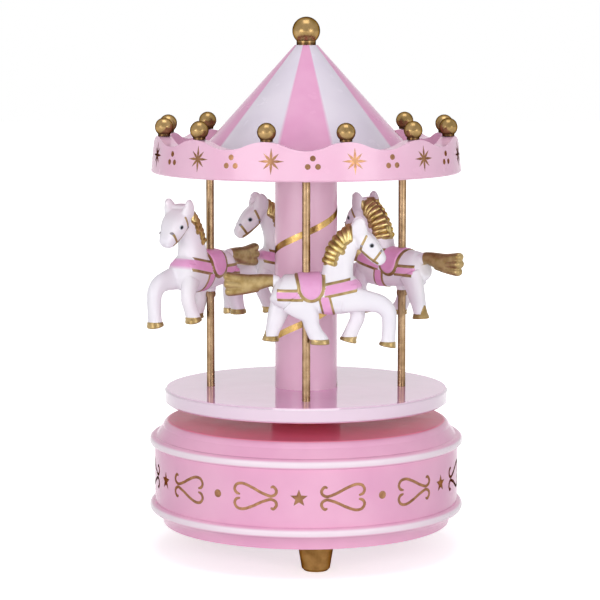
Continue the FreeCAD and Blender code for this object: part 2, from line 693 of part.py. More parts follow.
drum_radius = size("dims.cylinder_radius")
drum_length = size("levels.cylinder_length")
drum = Part.makeCylinder(drum_radius, drum_length)
notes = int(size("dims.comb_teeth"))
track = drum_length / notes
pin_root = size("dims.pin_root")
pin_length = size("dims.pin_height") + pin_root
GOLDEN_ANGLE = 137.5
pins = []
for number in range(notes * int(size("dims.pins_per_note"))):
    angle = math.radians(number * GOLDEN_ANGLE)
    outward = Vector(math.cos(angle), math.sin(angle), 0)
    pin_foot = outward * (drum_radius - pin_root) + Vector(0, 0, track * (number % notes + 0.5))
    pins.append(Part.makeCylinder(size("dims.pin_radius"), pin_length, pin_foot, outward))
bore_tool = Part.makeCylinder(size(axle_seat), drum_length)
tune_cylinder = doc.addObject("Part::Feature", "tune_cylinder")
tune_cylinder.Shape = drum.multiFuse(pins).cut(bore_tool)
tune_cylinder.Placement = Placement(
    Vector(size("levels.cylinder_start"), 0, size("levels.cylinder_axis")), ALONG_X)

# Bearings of the cylinder axle; the outer one also carries the governor arbor.
bearing_height = "levels.cylinder_axis + dims.bearing_crest - levels.bed_top"
axis_height = "levels.cylinder_axis - levels.bed_top"
inner_bearing = new_body("cylinder_inner_bearing", "levels.inner_bearing", z="levels.bed_top",
                         rotation=ALONG_X)
pad(inner_bearing, box_corners("-dims.bearing_half_width", "dims.bearing_half_width", "0", bearing_height),
    "dims.bearing_thickness")
drill(inner_bearing, "dims.axle_radius + dims.running_gap", "dims.bearing_thickness",
      "dims.bearing_thickness", "0", axis_height)
outer_bearing = new_body("cylinder_outer_bearing", "levels.outer_bearing", z="levels.bed_top",
                         rotation=ALONG_X)
pad(outer_bearing, box_corners("-dims.bearing_half_width", "levels.governor_y + dims.bearing_crest", "0",
                               bearing_height), "dims.bearing_thickness")
drill(outer_bearing, "dims.axle_radius + dims.running_gap", "dims.bearing_thickness",
      "dims.bearing_thickness", "0", axis_height)
drill(outer_bearing, "dims.governor_arbor_radius + dims.running_gap", "dims.bearing_thickness",
      "dims.bearing_thickness", "levels.governor_y", axis_height)

# Comb with its block and two screws, on the viewer's side of the cylinder.
comb_low = "levels.cylinder_axis - dims.comb_thickness / 2"
comb = new_body("comb", "levels.cylinder_start", z=comb_low)
pad(comb, box_corners("0", "levels.cylinder_length", "-levels.comb_end", "-levels.comb_tip"),
    "dims.comb_thickness")
tooth_step = "(levels.cylinder_length / dims.comb_teeth)"
slot_sketch = new_sketch(comb, "XY_Plane", "dims.comb_thickness")
draw_outline(slot_sketch, box_corners(
    f"{tooth_step} - dims.comb_slot / 2", f"{tooth_step} + dims.comb_slot / 2",
    "-levels.comb_root", "-levels.comb_tip + dims.cutter_excess"))
slots = extrude(comb, "Pocket", slot_sketch, "dims.comb_thickness")
along(comb, slots, "dims.comb_teeth - 1", f"levels.cylinder_length - 2 * {tooth_step}")
comb_screw_y = "-(levels.comb_root + dims.comb_back / 2)"
comb_screw_x = "levels.cylinder_length * 0.2"
comb_screw_span = "levels.cylinder_length * 0.6"
small_hole = "dims.small_screw_radius + dims.seat_gap"
comb_holes = drill(comb, small_hole, "dims.comb_thickness", "dims.comb_thickness", comb_screw_x, comb_screw_y)
along(comb, comb_holes, "2", comb_screw_span)
comb_block = new_body("comb_block", "levels.cylinder_start", z="levels.bed_top")
block_height = f"{comb_low} - levels.bed_top"
pad(comb_block, box_corners("0", "levels.cylinder_length", "-levels.comb_end",
                            "-levels.comb_root - dims.comb_block_setback"), block_height)
block_holes = drill(comb_block, small_hole, "dims.comb_screw_bite + dims.tip_gap", block_height,
                    comb_screw_x, comb_screw_y)
along(comb_block, block_holes, "2", comb_screw_span)
comb_screws = new_body("comb_screws", f"levels.cylinder_start + {comb_screw_x}", comb_screw_y,
                       "levels.cylinder_axis + dims.comb_thickness / 2")
comb_screw_end = "-(dims.comb_thickness + dims.comb_screw_bite)"
comb_screw = revolve(comb_screws, [
    ("0", comb_screw_end), ("dims.small_screw_radius", comb_screw_end), ("dims.small_screw_radius", "0"),
    ("dims.small_screw_head_radius", "0"),
    ("dims.small_screw_head_radius", "dims.small_screw_head_height"),
    ("0", "dims.small_screw_head_height"),
])
along(comb_screws, comb_screw, "2", comb_screw_span)

# Governor: arbor with pinion and worm wheel, frame, upright worm shaft and air-brake fly.
arbor_seat = "dims.governor_arbor_radius + dims.seat_gap"
toothed_body("governor_pinion", "dims.governor_pinion_teeth", "dims.fine_module", "dims.fine_width",
             "levels.wheel_start", "180 - 180 / dims.governor_pinion_teeth", "levels.governor_y", arbor_seat)
arbor = new_body("governor_arbor", "levels.wheel_start - dims.axle_overhang", "levels.governor_y",
                 "levels.cylinder_axis", ALONG_X)
pad_round(arbor, "dims.governor_arbor_radius",
          "levels.frame_start + dims.frame_thickness - levels.wheel_start + 1.5 * dims.axle_overhang")

frame = new_body("governor_frame", z="levels.bed_top")
frame_height = "levels.arm_bottom + dims.arm_thickness - levels.bed_top"
pad(frame, box_corners("levels.governor_y - dims.bearing_crest", "levels.worm_y + dims.arm_half_width", "0",
                       frame_height), "dims.frame_thickness", "levels.frame_start", "YZ_Plane")
arm_corners = box_corners("levels.worm_x - dims.arm_half_width", "levels.frame_start + dims.weld",
                          "levels.worm_y - dims.arm_half_width", "levels.worm_y + dims.arm_half_width")
pad(frame, arm_corners, "dims.arm_thickness", "levels.arm_bottom - levels.bed_top")
pad(frame, arm_corners, "dims.arm_thickness")
drill(frame, "dims.worm_shaft_radius + dims.running_gap", f"{frame_height} + dims.cutter_excess",
      frame_height, "levels.worm_x", "levels.worm_y")
drill(frame, "dims.governor_arbor_radius + dims.running_gap", "dims.frame_thickness",
      "levels.frame_start + dims.frame_thickness", "levels.governor_y", axis_height, "YZ_Plane")


def polar_wire(points, height, turn):
    corners = []
    for radius, angle in points:
        bearing = math.radians(angle + turn)
        corners.append(Vector(radius * math.cos(bearing), radius * math.sin(bearing), height))
    return Part.makePolygon(corners + corners[:1])


def twisted_solid(points, low, high, degrees_per_mm, sections):
    """Solid with one outline that turns evenly as it rises from low to high."""
    wires = []
    for number in range(sections):
        height = low + (high - low) * number / (sections - 1)
        wires.append(polar_wire(points, height, degrees_per_mm * height))
    return Part.makeLoft(wires, True, True)


worm_teeth = int(size("dims.worm_wheel_teeth"))
starts = int(size("dims.worm_starts"))
worm_module = size("dims.worm_module")
wheel_pitch = size("levels.worm_wheel_pitch")
worm_pitch = size("dims.worm_radius")
lead = starts * math.pi * worm_module
wheel_twist = math.degrees(lead / (2 * math.pi * worm_pitch) / wheel_pitch)
half_width = size("dims.worm_wheel_width") / 2

wheel_points = []
tooth_angle = 360 / worm_teeth
for number in range(worm_teeth):
    middle = (number + 0.5) * tooth_angle
    wheel_points += [
        (wheel_pitch - 0.9 * worm_module, middle - 0.26 * tooth_angle),
        (wheel_pitch + 0.7 * worm_module, middle - 0.1 * tooth_angle),
        (wheel_pitch + 0.7 * worm_module, middle + 0.1 * tooth_angle),
        (wheel_pitch - 0.9 * worm_module, middle + 0.26 * tooth_angle),
    ]
worm_wheel = doc.addObject("Part::Feature", "worm_wheel")
wheel_blank = twisted_solid(wheel_points, -half_width, half_width, wheel_twist, 3)
wheel_bore = Part.makeCylinder(size(arbor_seat), 4 * half_width, Vector(0, 0, -2 * half_width))
worm_wheel.Shape = wheel_blank.cut(wheel_bore)
worm_wheel.Placement = Placement(
    Vector(size("levels.worm_x"), size("levels.governor_y"), size("levels.cylinder_axis")), ALONG_X)

thread_points = []
for number in range(starts):
    middle = 270 + number * 360 / starts
    share = 360 / starts
    thread_points += [
        (worm_pitch - 0.95 * worm_module, middle - 0.24 * share),
        (worm_pitch + 0.65 * worm_module, middle - 0.1 * share),
        (worm_pitch + 0.65 * worm_module, middle + 0.1 * share),
        (worm_pitch - 0.95 * worm_module, middle + 0.24 * share),
        (worm_pitch - 0.95 * worm_module, middle + 0.5 * share),
    ]
half_worm = size("dims.worm_length") / 2
axis_z = size("levels.cylinder_axis")
worm_bottom = size("levels.bed_top + dims.thrust_gap") - axis_z
worm_top = size("levels.fly_bottom + dims.fly_height + dims.axle_overhang") - axis_z
worm_rod = Part.makeCylinder(size("dims.worm_shaft_radius"), worm_top - worm_bottom,
                             Vector(0, 0, worm_bottom))
thread = twisted_solid(thread_points, -half_worm, half_worm, 360 / lead, 25)
worm_shaft = doc.addObject("Part::Feature", "worm_shaft")
worm_shaft.Shape = thread.fuse(worm_rod)
worm_shaft.Placement.Base = Vector(size("levels.worm_x"), size("levels.worm_y"), axis_z)

fly = new_body("fly", "levels.worm_x", "levels.worm_y", "levels.fly_bottom")
pad_round(fly, "dims.worm_shaft_radius + dims.fly_hub_wall", "dims.fly_height")
pad(fly, box_corners("-dims.fly_radius", "dims.fly_radius", "-dims.fly_thickness / 2",
                     "dims.fly_thickness / 2"), "dims.fly_height")
drill(fly, "dims.worm_shaft_radius + dims.seat_gap", "dims.fly_height", "dims.fly_height")

# Turntable hub: clamps shaft and tie rod, its spigot centres platform and column.
hub = new_body("turntable_hub", z="levels.hub_bottom")
spigot_radius = "levels.column_inside - dims.seat_gap"
spigot_top = "dims.hub_height + dims.platform_thickness + dims.hub_spigot_rise"
hub_step = "dims.hub_height + dims.shaft_rise + dims.rod_gap"
revolve(hub, [
    (shaft_seat, "0"), ("dims.hub_radius", "0"), ("dims.hub_radius", "dims.hub_height"),
    (spigot_radius, "dims.hub_height"), (spigot_radius, spigot_top),
    ("dims.tie_rod_radius + dims.seat_gap", spigot_top),
    ("dims.tie_rod_radius + dims.seat_gap", hub_step), (shaft_seat, hub_step),
])
hub_holes = drill(hub, small_hole, "dims.hub_height", "dims.hub_height", "dims.hub_screw_circle")
around(hub, hub_holes, "dims.hub_screw_count")
hub_wells = drill(hub, "dims.small_screw_head_radius + dims.clear_gap / 2", "dims.hub_well_depth", "0",
                  "dims.hub_screw_circle", reverse=True)
around(hub, hub_wells, "dims.hub_screw_count")
screw_ring("hub_screws", "dims.hub_screw_count", "dims.hub_screw_circle", "0",
           "levels.hub_bottom + dims.hub_well_depth",
           "dims.hub_height - dims.hub_well_depth + dims.hub_screw_bite", head_up=False, small=True)

# Platform: round plate with blind holes for the four poles.
platform = new_body("platform", z="levels.platform_bottom")
revolve(platform, [
    ("levels.column_inside", "0"), ("dims.platform_radius - dims.platform_edge", "0"),
    ("dims.platform_radius", "dims.platform_edge"),
    ("dims.platform_radius", "dims.platform_thickness - dims.platform_edge"),
    ("dims.platform_radius - dims.platform_edge", "dims.platform_thickness"),
    ("levels.column_inside", "dims.platform_thickness"),
])
pole_hole = "dims.pole_radius + dims.seat_gap"
for pole_x, pole_y in POLE_PLACES.values():
    drill(platform, pole_hole, "dims.pole_foot_depth", "dims.platform_thickness", pole_x, pole_y)
platform_holes = drill(platform, small_hole, "dims.hub_screw_bite + dims.tip_gap", "0",
                       "dims.hub_screw_circle", reverse=True)
around(platform, platform_holes, "dims.hub_screw_count")

# Centre column and the tie rod that runs inside it from the hub to the finial.
column = new_body("centre_column", z="levels.platform_top")
revolve(column, [
    ("levels.column_inside", "0"), ("dims.column_radius", "0"),
    ("dims.column_radius", "dims.column_height"), ("levels.column_inside", "dims.column_height"),
])
rod_bottom = "levels.platform_bottom + dims.shaft_rise + 2 * dims.rod_gap"
rod = new_body("tie_rod", z=rod_bottom)
rod_top = "levels.cone_top + dims.finial_neck_height + dims.finial_radius"
pad_round(rod, "dims.tie_rod_radius", f"{rod_top} - ({rod_bottom})")

# Canopy deck: disc inside the crown that holds the column, the pole tops and the cone.
deck = new_body("canopy_deck", z="levels.deck_bottom")
rod_way = "dims.tie_rod_radius + dims.seat_gap"
deck_rim = "levels.crown_inside - dims.seat_gap"
revolve(deck, [
    (rod_way, "-dims.deck_boss_depth"), (spigot_radius, "-dims.deck_boss_depth"), (spigot_radius, "0"),
    (deck_rim, "0"), (deck_rim, "dims.deck_thickness"), (rod_way, "dims.deck_thickness"),
])
for pole_x, pole_y in POLE_PLACES.values():
    drill(deck, pole_hole, "dims.pole_head_depth", "0", pole_x, pole_y, reverse=True)

# Canopy crown: tapered band round the deck with a wavy upper edge, a ball on every peak.
crown = new_body("canopy_crown", z="levels.crown_bottom")
revolve(crown, [
    ("levels.crown_inside", "0"), ("dims.crown_radius - dims.crown_edge", "0"),
    ("dims.crown_radius", "dims.crown_edge"),
    ("dims.crown_radius - dims.crown_taper", "dims.crown_height"),
    ("levels.crown_inside", "dims.crown_height"),
])
peak_u = "dims.crown_radius * sin(180 / dims.crown_points)"
wave_radius = f"(({peak_u})^2 + dims.crown_wave^2) / (4 * dims.crown_wave)"
middle_v = "dims.crown_height - dims.crown_wave / 2"
wave_sketch = new_sketch(crown, "YZ_Plane")
draw_outline(wave_sketch, [
    (f"-({peak_u})", "dims.crown_height", wave_radius, "left"),
    (f"-({peak_u}) / 2", middle_v, wave_radius, "right"),
    (f"({peak_u}) / 2", middle_v, wave_radius, "left"),
    (peak_u, "dims.crown_height"), (peak_u, "dims.crown_height + dims.cutter_excess"),
    (f"-({peak_u})", "dims.crown_height + dims.cutter_excess"),
])
wave = extrude(crown, "Pocket", wave_sketch, "dims.crown_radius + dims.cutter_excess", reverse=True)
around(crown, wave, "dims.crown_points")
ball_circle = "(dims.crown_radius - dims.crown_taper - dims.crown_wall / 2)"
pin_x = f"{ball_circle} * cos(180 / dims.crown_points)"
pin_y = f"{ball_circle} * sin(180 / dims.crown_points)"
pin_holes = drill(crown, "dims.ball_pin_radius + dims.seat_gap", "dims.ball_pin_length + dims.tip_gap",
                  "dims.crown_height", pin_x, pin_y)
around(crown, pin_holes, "dims.crown_points")
balls = new_body("crown_balls", z="levels.crown_bottom + dims.crown_height",
                 rotation=Rotation(Vector(0, 0, 1), size("180 / dims.crown_points")))
neck_meet = "sqrt(dims.ball_radius^2 - dims.ball_neck_radius^2)"
ball_middle = f"dims.ball_neck_height + {neck_meet}"
crown_ball = revolve(balls, [
    ("0", "-dims.ball_pin_length"), ("dims.ball_pin_radius", "-dims.ball_pin_length"),
    ("dims.ball_pin_radius", "0"), ("dims.ball_neck_radius", "0"),
    ("dims.ball_neck_radius", "dims.ball_neck_height", "dims.ball_radius", "right"),
    ("dims.ball_radius", ball_middle, "dims.ball_radius", "right"),
    ("0", f"{ball_middle} + dims.ball_radius"),
], ball_circle)
around(balls, crown_ball, "dims.crown_points")

# Canopy cone: thin hollow roof on the deck, closed by the finial on the tie rod.
cone = new_body("canopy_cone", z="levels.deck_top")
revolve(cone, [
    ("dims.cone_foot_radius - dims.cone_wall", "0"), ("dims.cone_foot_radius", "0"),
    ("dims.cone_top_radius", "dims.cone_height"), (rod_way, "dims.cone_height"),
    (rod_way, "dims.cone_height - dims.cone_wall"),
])
finial = new_body("top_finial", z="levels.cone_top")
finial_meet = "sqrt(dims.finial_radius^2 - dims.finial_neck_radius^2)"
finial_middle = f"dims.finial_neck_height + {finial_meet}"
rod_in_ball = "dims.finial_neck_height + dims.finial_radius + dims.rod_gap"
revolve(finial, [
    (rod_way, "0"), ("dims.finial_neck_radius", "0"),
    ("dims.finial_neck_radius", "dims.finial_neck_height", "dims.finial_radius", "right"),
    ("dims.finial_radius", finial_middle, "dims.finial_radius", "right"),
    ("0", f"{finial_middle} + dims.finial_radius"), ("0", rod_in_ball), (rod_way, rod_in_ball),
])


# Horse: one moulding in its own frame, x forward, pole on z, z = 0 where the collar bears.
# A station is (forward, up, half depth, half width) on a horse of the master size, which
# the horse's own length and height then stretch; side offsets a limb from the middle.
MASTER_LENGTH = 56.0
MASTER_HEIGHT = 40.8
stretch = size("dims.horse_length") / MASTER_LENGTH
rise = size("dims.horse_height") / MASTER_HEIGHT


def section_wire(centre, along_limb, half_depth, half_breadth):
    across = Vector(0, 1, 0)
    upward = along_limb.cross(across).normalize()
    points = []
    for number in range(8):
        angle = math.radians(45 * number)
        point = centre + upward * (half_depth * math.cos(angle))
        points.append(point + across * (half_breadth * math.sin(angle)))
    curve = Part.BSplineCurve()
    curve.interpolate(Points=points, PeriodicFlag=True)
    return Part.Wire([curve.toShape()])


def limb(stations, side=0, lean=0):
    last = len(stations) - 1
    middles = [Vector(forward * stretch, side + lean * number / last, up * rise)
               for number, (forward, up, _, _) in enumerate(stations)]
    wires = []
    for number, (_, _, half_depth, half_breadth) in enumerate(stations):
        before = middles[max(number - 1, 0)]
        after = middles[min(number + 1, last)]
        wires.append(section_wire(middles[number], after - before, half_depth * rise, half_breadth))
    return Part.makeLoft(wires, True, False)


def horse_trunk(extra):
    depth = size("dims.trunk_depth") / 2
    breadth = size("dims.trunk_width") / 2
    shares = [
        (-10.7, 9.3, 0.14, 0.2), (-9.9, 8.9, 0.58, 0.6), (-8.0, 8.2, 0.82, 0.86), (-4.0, 7.6, 0.92, 0.94),
        (1.5, 7.3, 0.97, 0.97), (7.5, 7.2, 1.0, 0.99), (12.0, 7.3, 0.99, 1.02), (15.2, 7.6, 0.87, 0.97),
        (17.2, 7.8, 0.58, 0.74), (18.1, 7.8, 0.22, 0.36),
    ]
    return limb([(forward, up, depth * high + extra, breadth * wide + extra)
                 for forward, up, high, wide in shares])


def horse_legs():
    leg = size("dims.leg_width") / 2
    spread = size("dims.leg_spread")
    right_forearm = [(9.6, 6.4, 2.4, leg * 0.6), (13.4, 5.9, 4.0, leg * 0.94), (17.0, 5.5, 3.7, leg),
                     (21.0, 4.9, 3.2, leg), (24.9, 3.8, 2.8, leg), (26.9, 3.1, 2.0, leg * 0.9)]
    right_shin = [(26.2, 4.8, 1.4, leg * 0.8), (26.6, 3.0, 2.5, leg), (26.6, -1.0, 2.4, leg * 0.92),
                  (26.4, -5.6, 2.3, leg * 0.92), (26.3, -7.8, 2.4, leg), (26.0, -9.4, 2.8, leg * 1.05)]
    right_hind = [(-5.4, 8.2, 2.2, leg * 0.5), (-3.8, 5.8, 4.4, leg * 0.92), (-1.1, 3.2, 4.4, leg),
                  (1.1, 0.2, 3.1, leg), (1.9, -2.6, 2.6, leg * 0.92), (3.2, -5.6, 2.6, leg * 0.92),
                  (4.3, -7.5, 2.7, leg), (4.5, -8.7, 3.1, leg * 1.05)]
    left_fore = [(13.4, 8.6, 1.8, leg * 0.5), (14.6, 5.4, 3.1, leg * 0.92), (16.2, 1.9, 2.6, leg * 0.96),
                 (16.4, -1.0, 2.4, leg * 0.92), (15.1, -4.4, 2.3, leg * 0.9), (14.0, -7.0, 2.5, leg),
                 (13.5, -8.6, 2.9, leg * 1.05)]
    left_hind = [(-5.6, 8.6, 2.0, leg * 0.5), (-6.8, 5.6, 3.8, leg * 0.92), (-8.6, 1.8, 3.4, leg),
                 (-9.9, -2.0, 2.8, leg * 0.94), (-10.9, -5.4, 2.3, leg * 0.9), (-11.4, -7.2, 2.5, leg),
                 (-11.5, -8.4, 2.8, leg * 1.05)]
    return ([limb(stations, -spread) for stations in (right_forearm, right_shin, right_hind)]
            + [limb(stations, spread) for stations in (left_fore, left_hind)])


def horse_neck_and_head():
    neck = size("dims.neck_width") / 2
    head = size("dims.head_width") / 2
    mane = size("dims.mane_width") / 2
    pieces = [
        limb([(9.9, 10.0, 5.7, neck * 1.15), (10.1, 14.7, 5.0, neck), (10.9, 18.9, 4.6, neck * 0.9),
              (12.7, 23.0, 4.1, neck * 0.85), (14.6, 26.2, 3.0, neck * 0.84), (15.9, 27.9, 1.8, neck * 0.7)]),
        limb([(16.1, 28.9, 1.0, head * 0.8), (16.9, 27.3, 2.1, head * 0.95), (19.1, 24.1, 3.2, head * 0.96),
              (20.8, 21.9, 3.2, head * 0.84), (22.3, 19.9, 2.8, head * 0.68), (23.4, 18.6, 2.4, head * 0.58),
              (24.2, 17.6, 1.9, head * 0.48), (24.7, 17.0, 0.9, head * 0.28)]),
        limb([(6.7, 16.6, 1.2, mane * 0.75), (7.4, 20.4, 1.9, mane * 0.94), (9.6, 24.6, 2.0, mane),
              (12.3, 27.6, 1.7, mane), (14.6, 28.9, 0.9, mane * 0.75)]),
    ]
    ear = [(17.4, 25.0, 1.2, 0.7), (17.0, 26.8, 2.4, 1.4), (16.9, 28.8, 2.3, 1.3), (17.3, 30.3, 1.7, 0.9),
           (18.0, 31.4, 0.8, 0.5)]
    return pieces + [limb(ear, side * head * 0.68, side * head * 0.28) for side in (-1, 1)]


def horse_tail():
    tail = size("dims.tail_width") / 2
    return limb([(-7.0, 10.4, 1.0, tail * 0.5), (-9.4, 11.1, 1.7, tail * 0.8),
                 (-11.5, 11.4, 2.0, tail * 0.86), (-14.5, 11.2, 2.5, tail * 0.95), (-18.4, 10.6, 3.0, tail),
                 (-22.5, 10.3, 3.8, tail * 1.05), (-25.4, 10.35, 3.9, tail * 0.95),
                 (-26.5, 10.4, 2.9, tail * 0.6)])


def horse_saddle():
    """Slice of a thicker trunk that stands proud over the pole, down to half its depth."""
    width = size("dims.saddle_length") * stretch
    breadth = size("dims.trunk_width")
    depth = size("dims.trunk_depth")
    slice_box = Part.makeBox(width, 2 * breadth, depth, Vector(-0.34 * width, -breadth, 5 * rise))
    return horse_trunk(size("dims.saddle_rise")).common(slice_box)


def horse_shape():
    collar = size("dims.collar_radius")
    belly_boss = Part.makeCylinder(collar, size("dims.trunk_depth") / 3)
    pieces = horse_legs() + horse_neck_and_head() + [horse_tail(), horse_saddle(), belly_boss]
    reach = 2 * size("dims.horse_height")
    bore = Part.makeCylinder(size(pole_hole), 2 * reach, Vector(0, 0, -reach))
    collar_room = Part.makeCylinder(collar + size("dims.collar_room"), reach, Vector(0, 0, -reach))
    return horse_trunk(0).multiFuse(pieces).cut(bore).cut(collar_room)


horse_model = horse_shape()

# Poles between platform and deck, each with a collar that carries its horse.
for quarter, bearing in QUARTERS.items():
    pole_x, pole_y = POLE_PLACES[quarter]
    seat = f"levels.platform_top + dims.horse_seat + dims.{quarter}_lift"
    pole = new_body(quarter + "_pole", pole_x, pole_y, "levels.platform_top - dims.pole_foot_depth")
    pad_round(pole, "dims.pole_radius", "dims.column_height + dims.pole_foot_depth + dims.pole_head_depth")
    collar = new_body(quarter + "_collar", pole_x, pole_y, f"{seat} - dims.collar_height")
    revolve(collar, [
        (pole_hole, "0"), ("dims.collar_radius - dims.collar_bevel", "0"),
        ("dims.collar_radius", "dims.collar_height / 2"),
        ("dims.collar_radius - dims.collar_bevel", "dims.collar_height"), (pole_hole, "dims.collar_height"),
    ])
    horse = doc.addObject("Part::Feature", quarter + "_horse")
    horse.Shape = horse_model
    heading = bearing + 90 + size(f"dims.{quarter}_turn")
    horse.Placement = Placement(Vector(size(pole_x), size(pole_y), size(seat)),
                                Rotation(Vector(0, 0, 1), heading))

doc.recompute()

sub_parts = [part for part in doc.Objects if part.TypeId in ("PartDesign::Body", "Part::Feature")]
for part in doc.Objects:
    if "Invalid" in part.State or "Error" in part.State:
        raise RuntimeError(part.Label + " did not compute")
for part in sub_parts:
    if part.Shape.isNull() or not part.Shape.isValid():
        raise RuntimeError(part.Label + " has no valid shape")
os.makedirs("parts", exist_ok=True)
for part in sub_parts:
    part.Shape.exportStep("parts/" + part.Label + ".step")
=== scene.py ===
import math

import bmesh
import bpy
import numpy as np
from mathutils import Matrix, Vector
from mathutils.bvhtree import BVHTree


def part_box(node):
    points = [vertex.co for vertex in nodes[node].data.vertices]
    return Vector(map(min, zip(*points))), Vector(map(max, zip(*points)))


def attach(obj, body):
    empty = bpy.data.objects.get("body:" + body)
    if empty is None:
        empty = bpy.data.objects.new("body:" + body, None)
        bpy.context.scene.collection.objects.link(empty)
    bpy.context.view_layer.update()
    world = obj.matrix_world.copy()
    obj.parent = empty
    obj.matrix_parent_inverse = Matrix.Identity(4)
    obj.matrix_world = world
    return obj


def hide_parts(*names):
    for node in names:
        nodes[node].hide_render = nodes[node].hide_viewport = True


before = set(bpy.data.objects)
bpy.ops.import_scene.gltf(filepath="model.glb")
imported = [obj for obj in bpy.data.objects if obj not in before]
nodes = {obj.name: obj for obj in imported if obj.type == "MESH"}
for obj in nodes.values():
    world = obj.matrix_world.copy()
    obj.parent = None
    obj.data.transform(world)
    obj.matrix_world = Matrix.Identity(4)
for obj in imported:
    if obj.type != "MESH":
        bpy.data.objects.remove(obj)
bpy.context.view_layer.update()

# Base case: pan, wall and lid are turned pieces under one coat of glossy pink lacquer.
# The wall slides over spigots on the other two, with a half-round bead at each seam, and screws
# from below pull the case together.
CASE_PINK = "F4BAD8"
CASE_PINK_DEEP = "ECACCF"
BEAD_PAINTED_HIGHLIGHT = "FAEAF5"
LID_TOP_PAINTED_RED_SHADE = "FF9CBB"
BEAD_MIDDLE = 0.0017
BEAD_HIGHLIGHT_BAND = (0.0007, 0.0013)
LID_TOP_SKIN = (0.0003, 0.0001)
CASE_GLOSS, LID_TOP_GLOSS = 0.2, 0.03
DRIFT_GRAIN, SMEAR_GRAIN, PEEL_GRAIN = 45.0, 190.0, 900.0
PEEL_DEPTH = 0.00003
BUMP_STRENGTH = 0.4
LACQUER_GLOSS = 0.22
LACQUER_COAT = 0.1
COAT_ROUGHNESS = 0.05


def tone(code):
    """Linear colour of a six-digit screen colour."""
    shares = [int(code[k:k + 2], 16) / 255 for k in (0, 2, 4)]
    return [s / 12.92 if s <= 0.04045 else ((s + 0.055) / 1.055) ** 2.4 for s in shares] + [1.0]


def node(tree, kind, values=None, **settings):
    """A node with its settings, and its inputs either linked to a socket or set to a value."""
    made = tree.nodes.new(kind)
    for name, setting in settings.items():
        setattr(made, name, setting)
    for socket, value in (values or {}).items():
        if isinstance(value, bpy.types.NodeSocket):
            tree.links.new(value, made.inputs[socket])
        else:
            made.inputs[socket].default_value = value
    return made


def maths(tree, operation, *terms):
    """The value of one sum; each term is a socket or a number."""
    return node(tree, "ShaderNodeMath", dict(enumerate(terms)), operation=operation).outputs[0]


def fresh(name):
    """An empty finish: the material, its tree and its lit surface."""
    material = bpy.data.materials.new(name)
    material.use_nodes = True
    return material, material.node_tree, material.node_tree.nodes["Principled BSDF"]


def object_place(tree):
    return node(tree, "ShaderNodeTexCoord").outputs["Object"]


def grain(tree, place, scale, detail=2.0):
    """Even noise from 0 to 1 over the piece."""
    noise = node(tree, "ShaderNodeTexNoise", {"Vector": place, "Scale": scale, "Detail": detail})
    return noise.outputs["Fac"]


def graded(tree, share, *stops):
    """Colours graded by a share; each stop is (share, colour code)."""
    ramp = node(tree, "ShaderNodeValToRGB", {"Fac": share})
    while len(ramp.color_ramp.elements) < len(stops):
        ramp.color_ramp.elements.new(0.5)
    for element, (position, code) in zip(ramp.color_ramp.elements, stops):
        element.position = position
        element.color = tone(code)
    return ramp.outputs["Color"]


def blended(tree, share, under, over):
    """Colour over laid on colour under by a share from 0 to 1."""
    mixed = node(tree, "ShaderNodeMix", {0: share}, data_type="RGBA")
    first_colour, second_colour, result = mixed.inputs[6], mixed.inputs[7], mixed.outputs[2]
    for socket, colour in ((first_colour, under), (second_colour, over)):
        if isinstance(colour, str):
            socket.default_value = tone(colour)
        else:
            tree.links.new(colour, socket)
    return result


def ranged(tree, value, low, high, start=0.0, end=1.0):
    """The value carried over from the range low..high to the range start..end, and held at its ends."""
    return node(tree, "ShaderNodeMapRange", {"Value": value, "From Min": low, "From Max": high,
                                             "To Min": start, "To Max": end}).outputs["Result"]


def roughen(tree, surface, height, depth):
    """Fine relief in the surface, from a height between 0 and 1 and its depth in metres."""
    bump = node(tree, "ShaderNodeBump", {"Height": height, "Strength": BUMP_STRENGTH, "Distance": depth})
    tree.links.new(bump.outputs["Normal"], surface.inputs["Normal"])


def lacquer(name, paint, deep, smooth, dull):
    """Sprayed gloss: slow drifts of tone, faint orange peel and soft smears in the shine."""
    material, tree, surface = fresh(name)
    place = object_place(tree)
    colour = graded(tree, grain(tree, place, DRIFT_GRAIN, 3.0), (0.35, deep), (0.65, paint))
    tree.links.new(colour, surface.inputs["Base Color"])
    shine = ranged(tree, grain(tree, place, SMEAR_GRAIN), 0.35, 0.7, smooth, dull)
    tree.links.new(shine, surface.inputs["Roughness"])
    roughen(tree, surface, grain(tree, place, PEEL_GRAIN), PEEL_DEPTH)
    surface.inputs["Specular IOR Level"].default_value = LACQUER_GLOSS
    surface.inputs["Coat Weight"].default_value = LACQUER_COAT
    surface.inputs["Coat Roughness"].default_value = COAT_ROUGHNESS
    return material, tree, surface, place, colour


def height_in(tree, place):
    return node(tree, "ShaderNodeSeparateXYZ", {"Vector": place}).outputs["Z"]


def dress(material, *names):
    """Gives a finish to pieces of the solid model."""
    for name in names:
        for slot in nodes[name].material_slots:
            slot.material = material


case_lacquer, tree, surface, place, colour = lacquer(
    "case_lacquer", CASE_PINK, CASE_PINK_DEEP, smooth=0.16, dull=0.26)
height = height_in(tree, place)
wall_low, wall_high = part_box("base_wall")
# Painted highlight: a paler band is painted along the outer line of each bead. It is a paler trim and
# also stands in for the beads' gloss highlight.
for bead in (wall_low.z - BEAD_MIDDLE, wall_high.z + BEAD_MIDDLE):
    off_bead = maths(tree, "ABSOLUTE", maths(tree, "SUBTRACT", height, bead))
    colour = blended(tree, ranged(tree, off_bead, *BEAD_HIGHLIGHT_BAND, 1.0, 0.0), colour, BEAD_PAINTED_HIGHLIGHT)
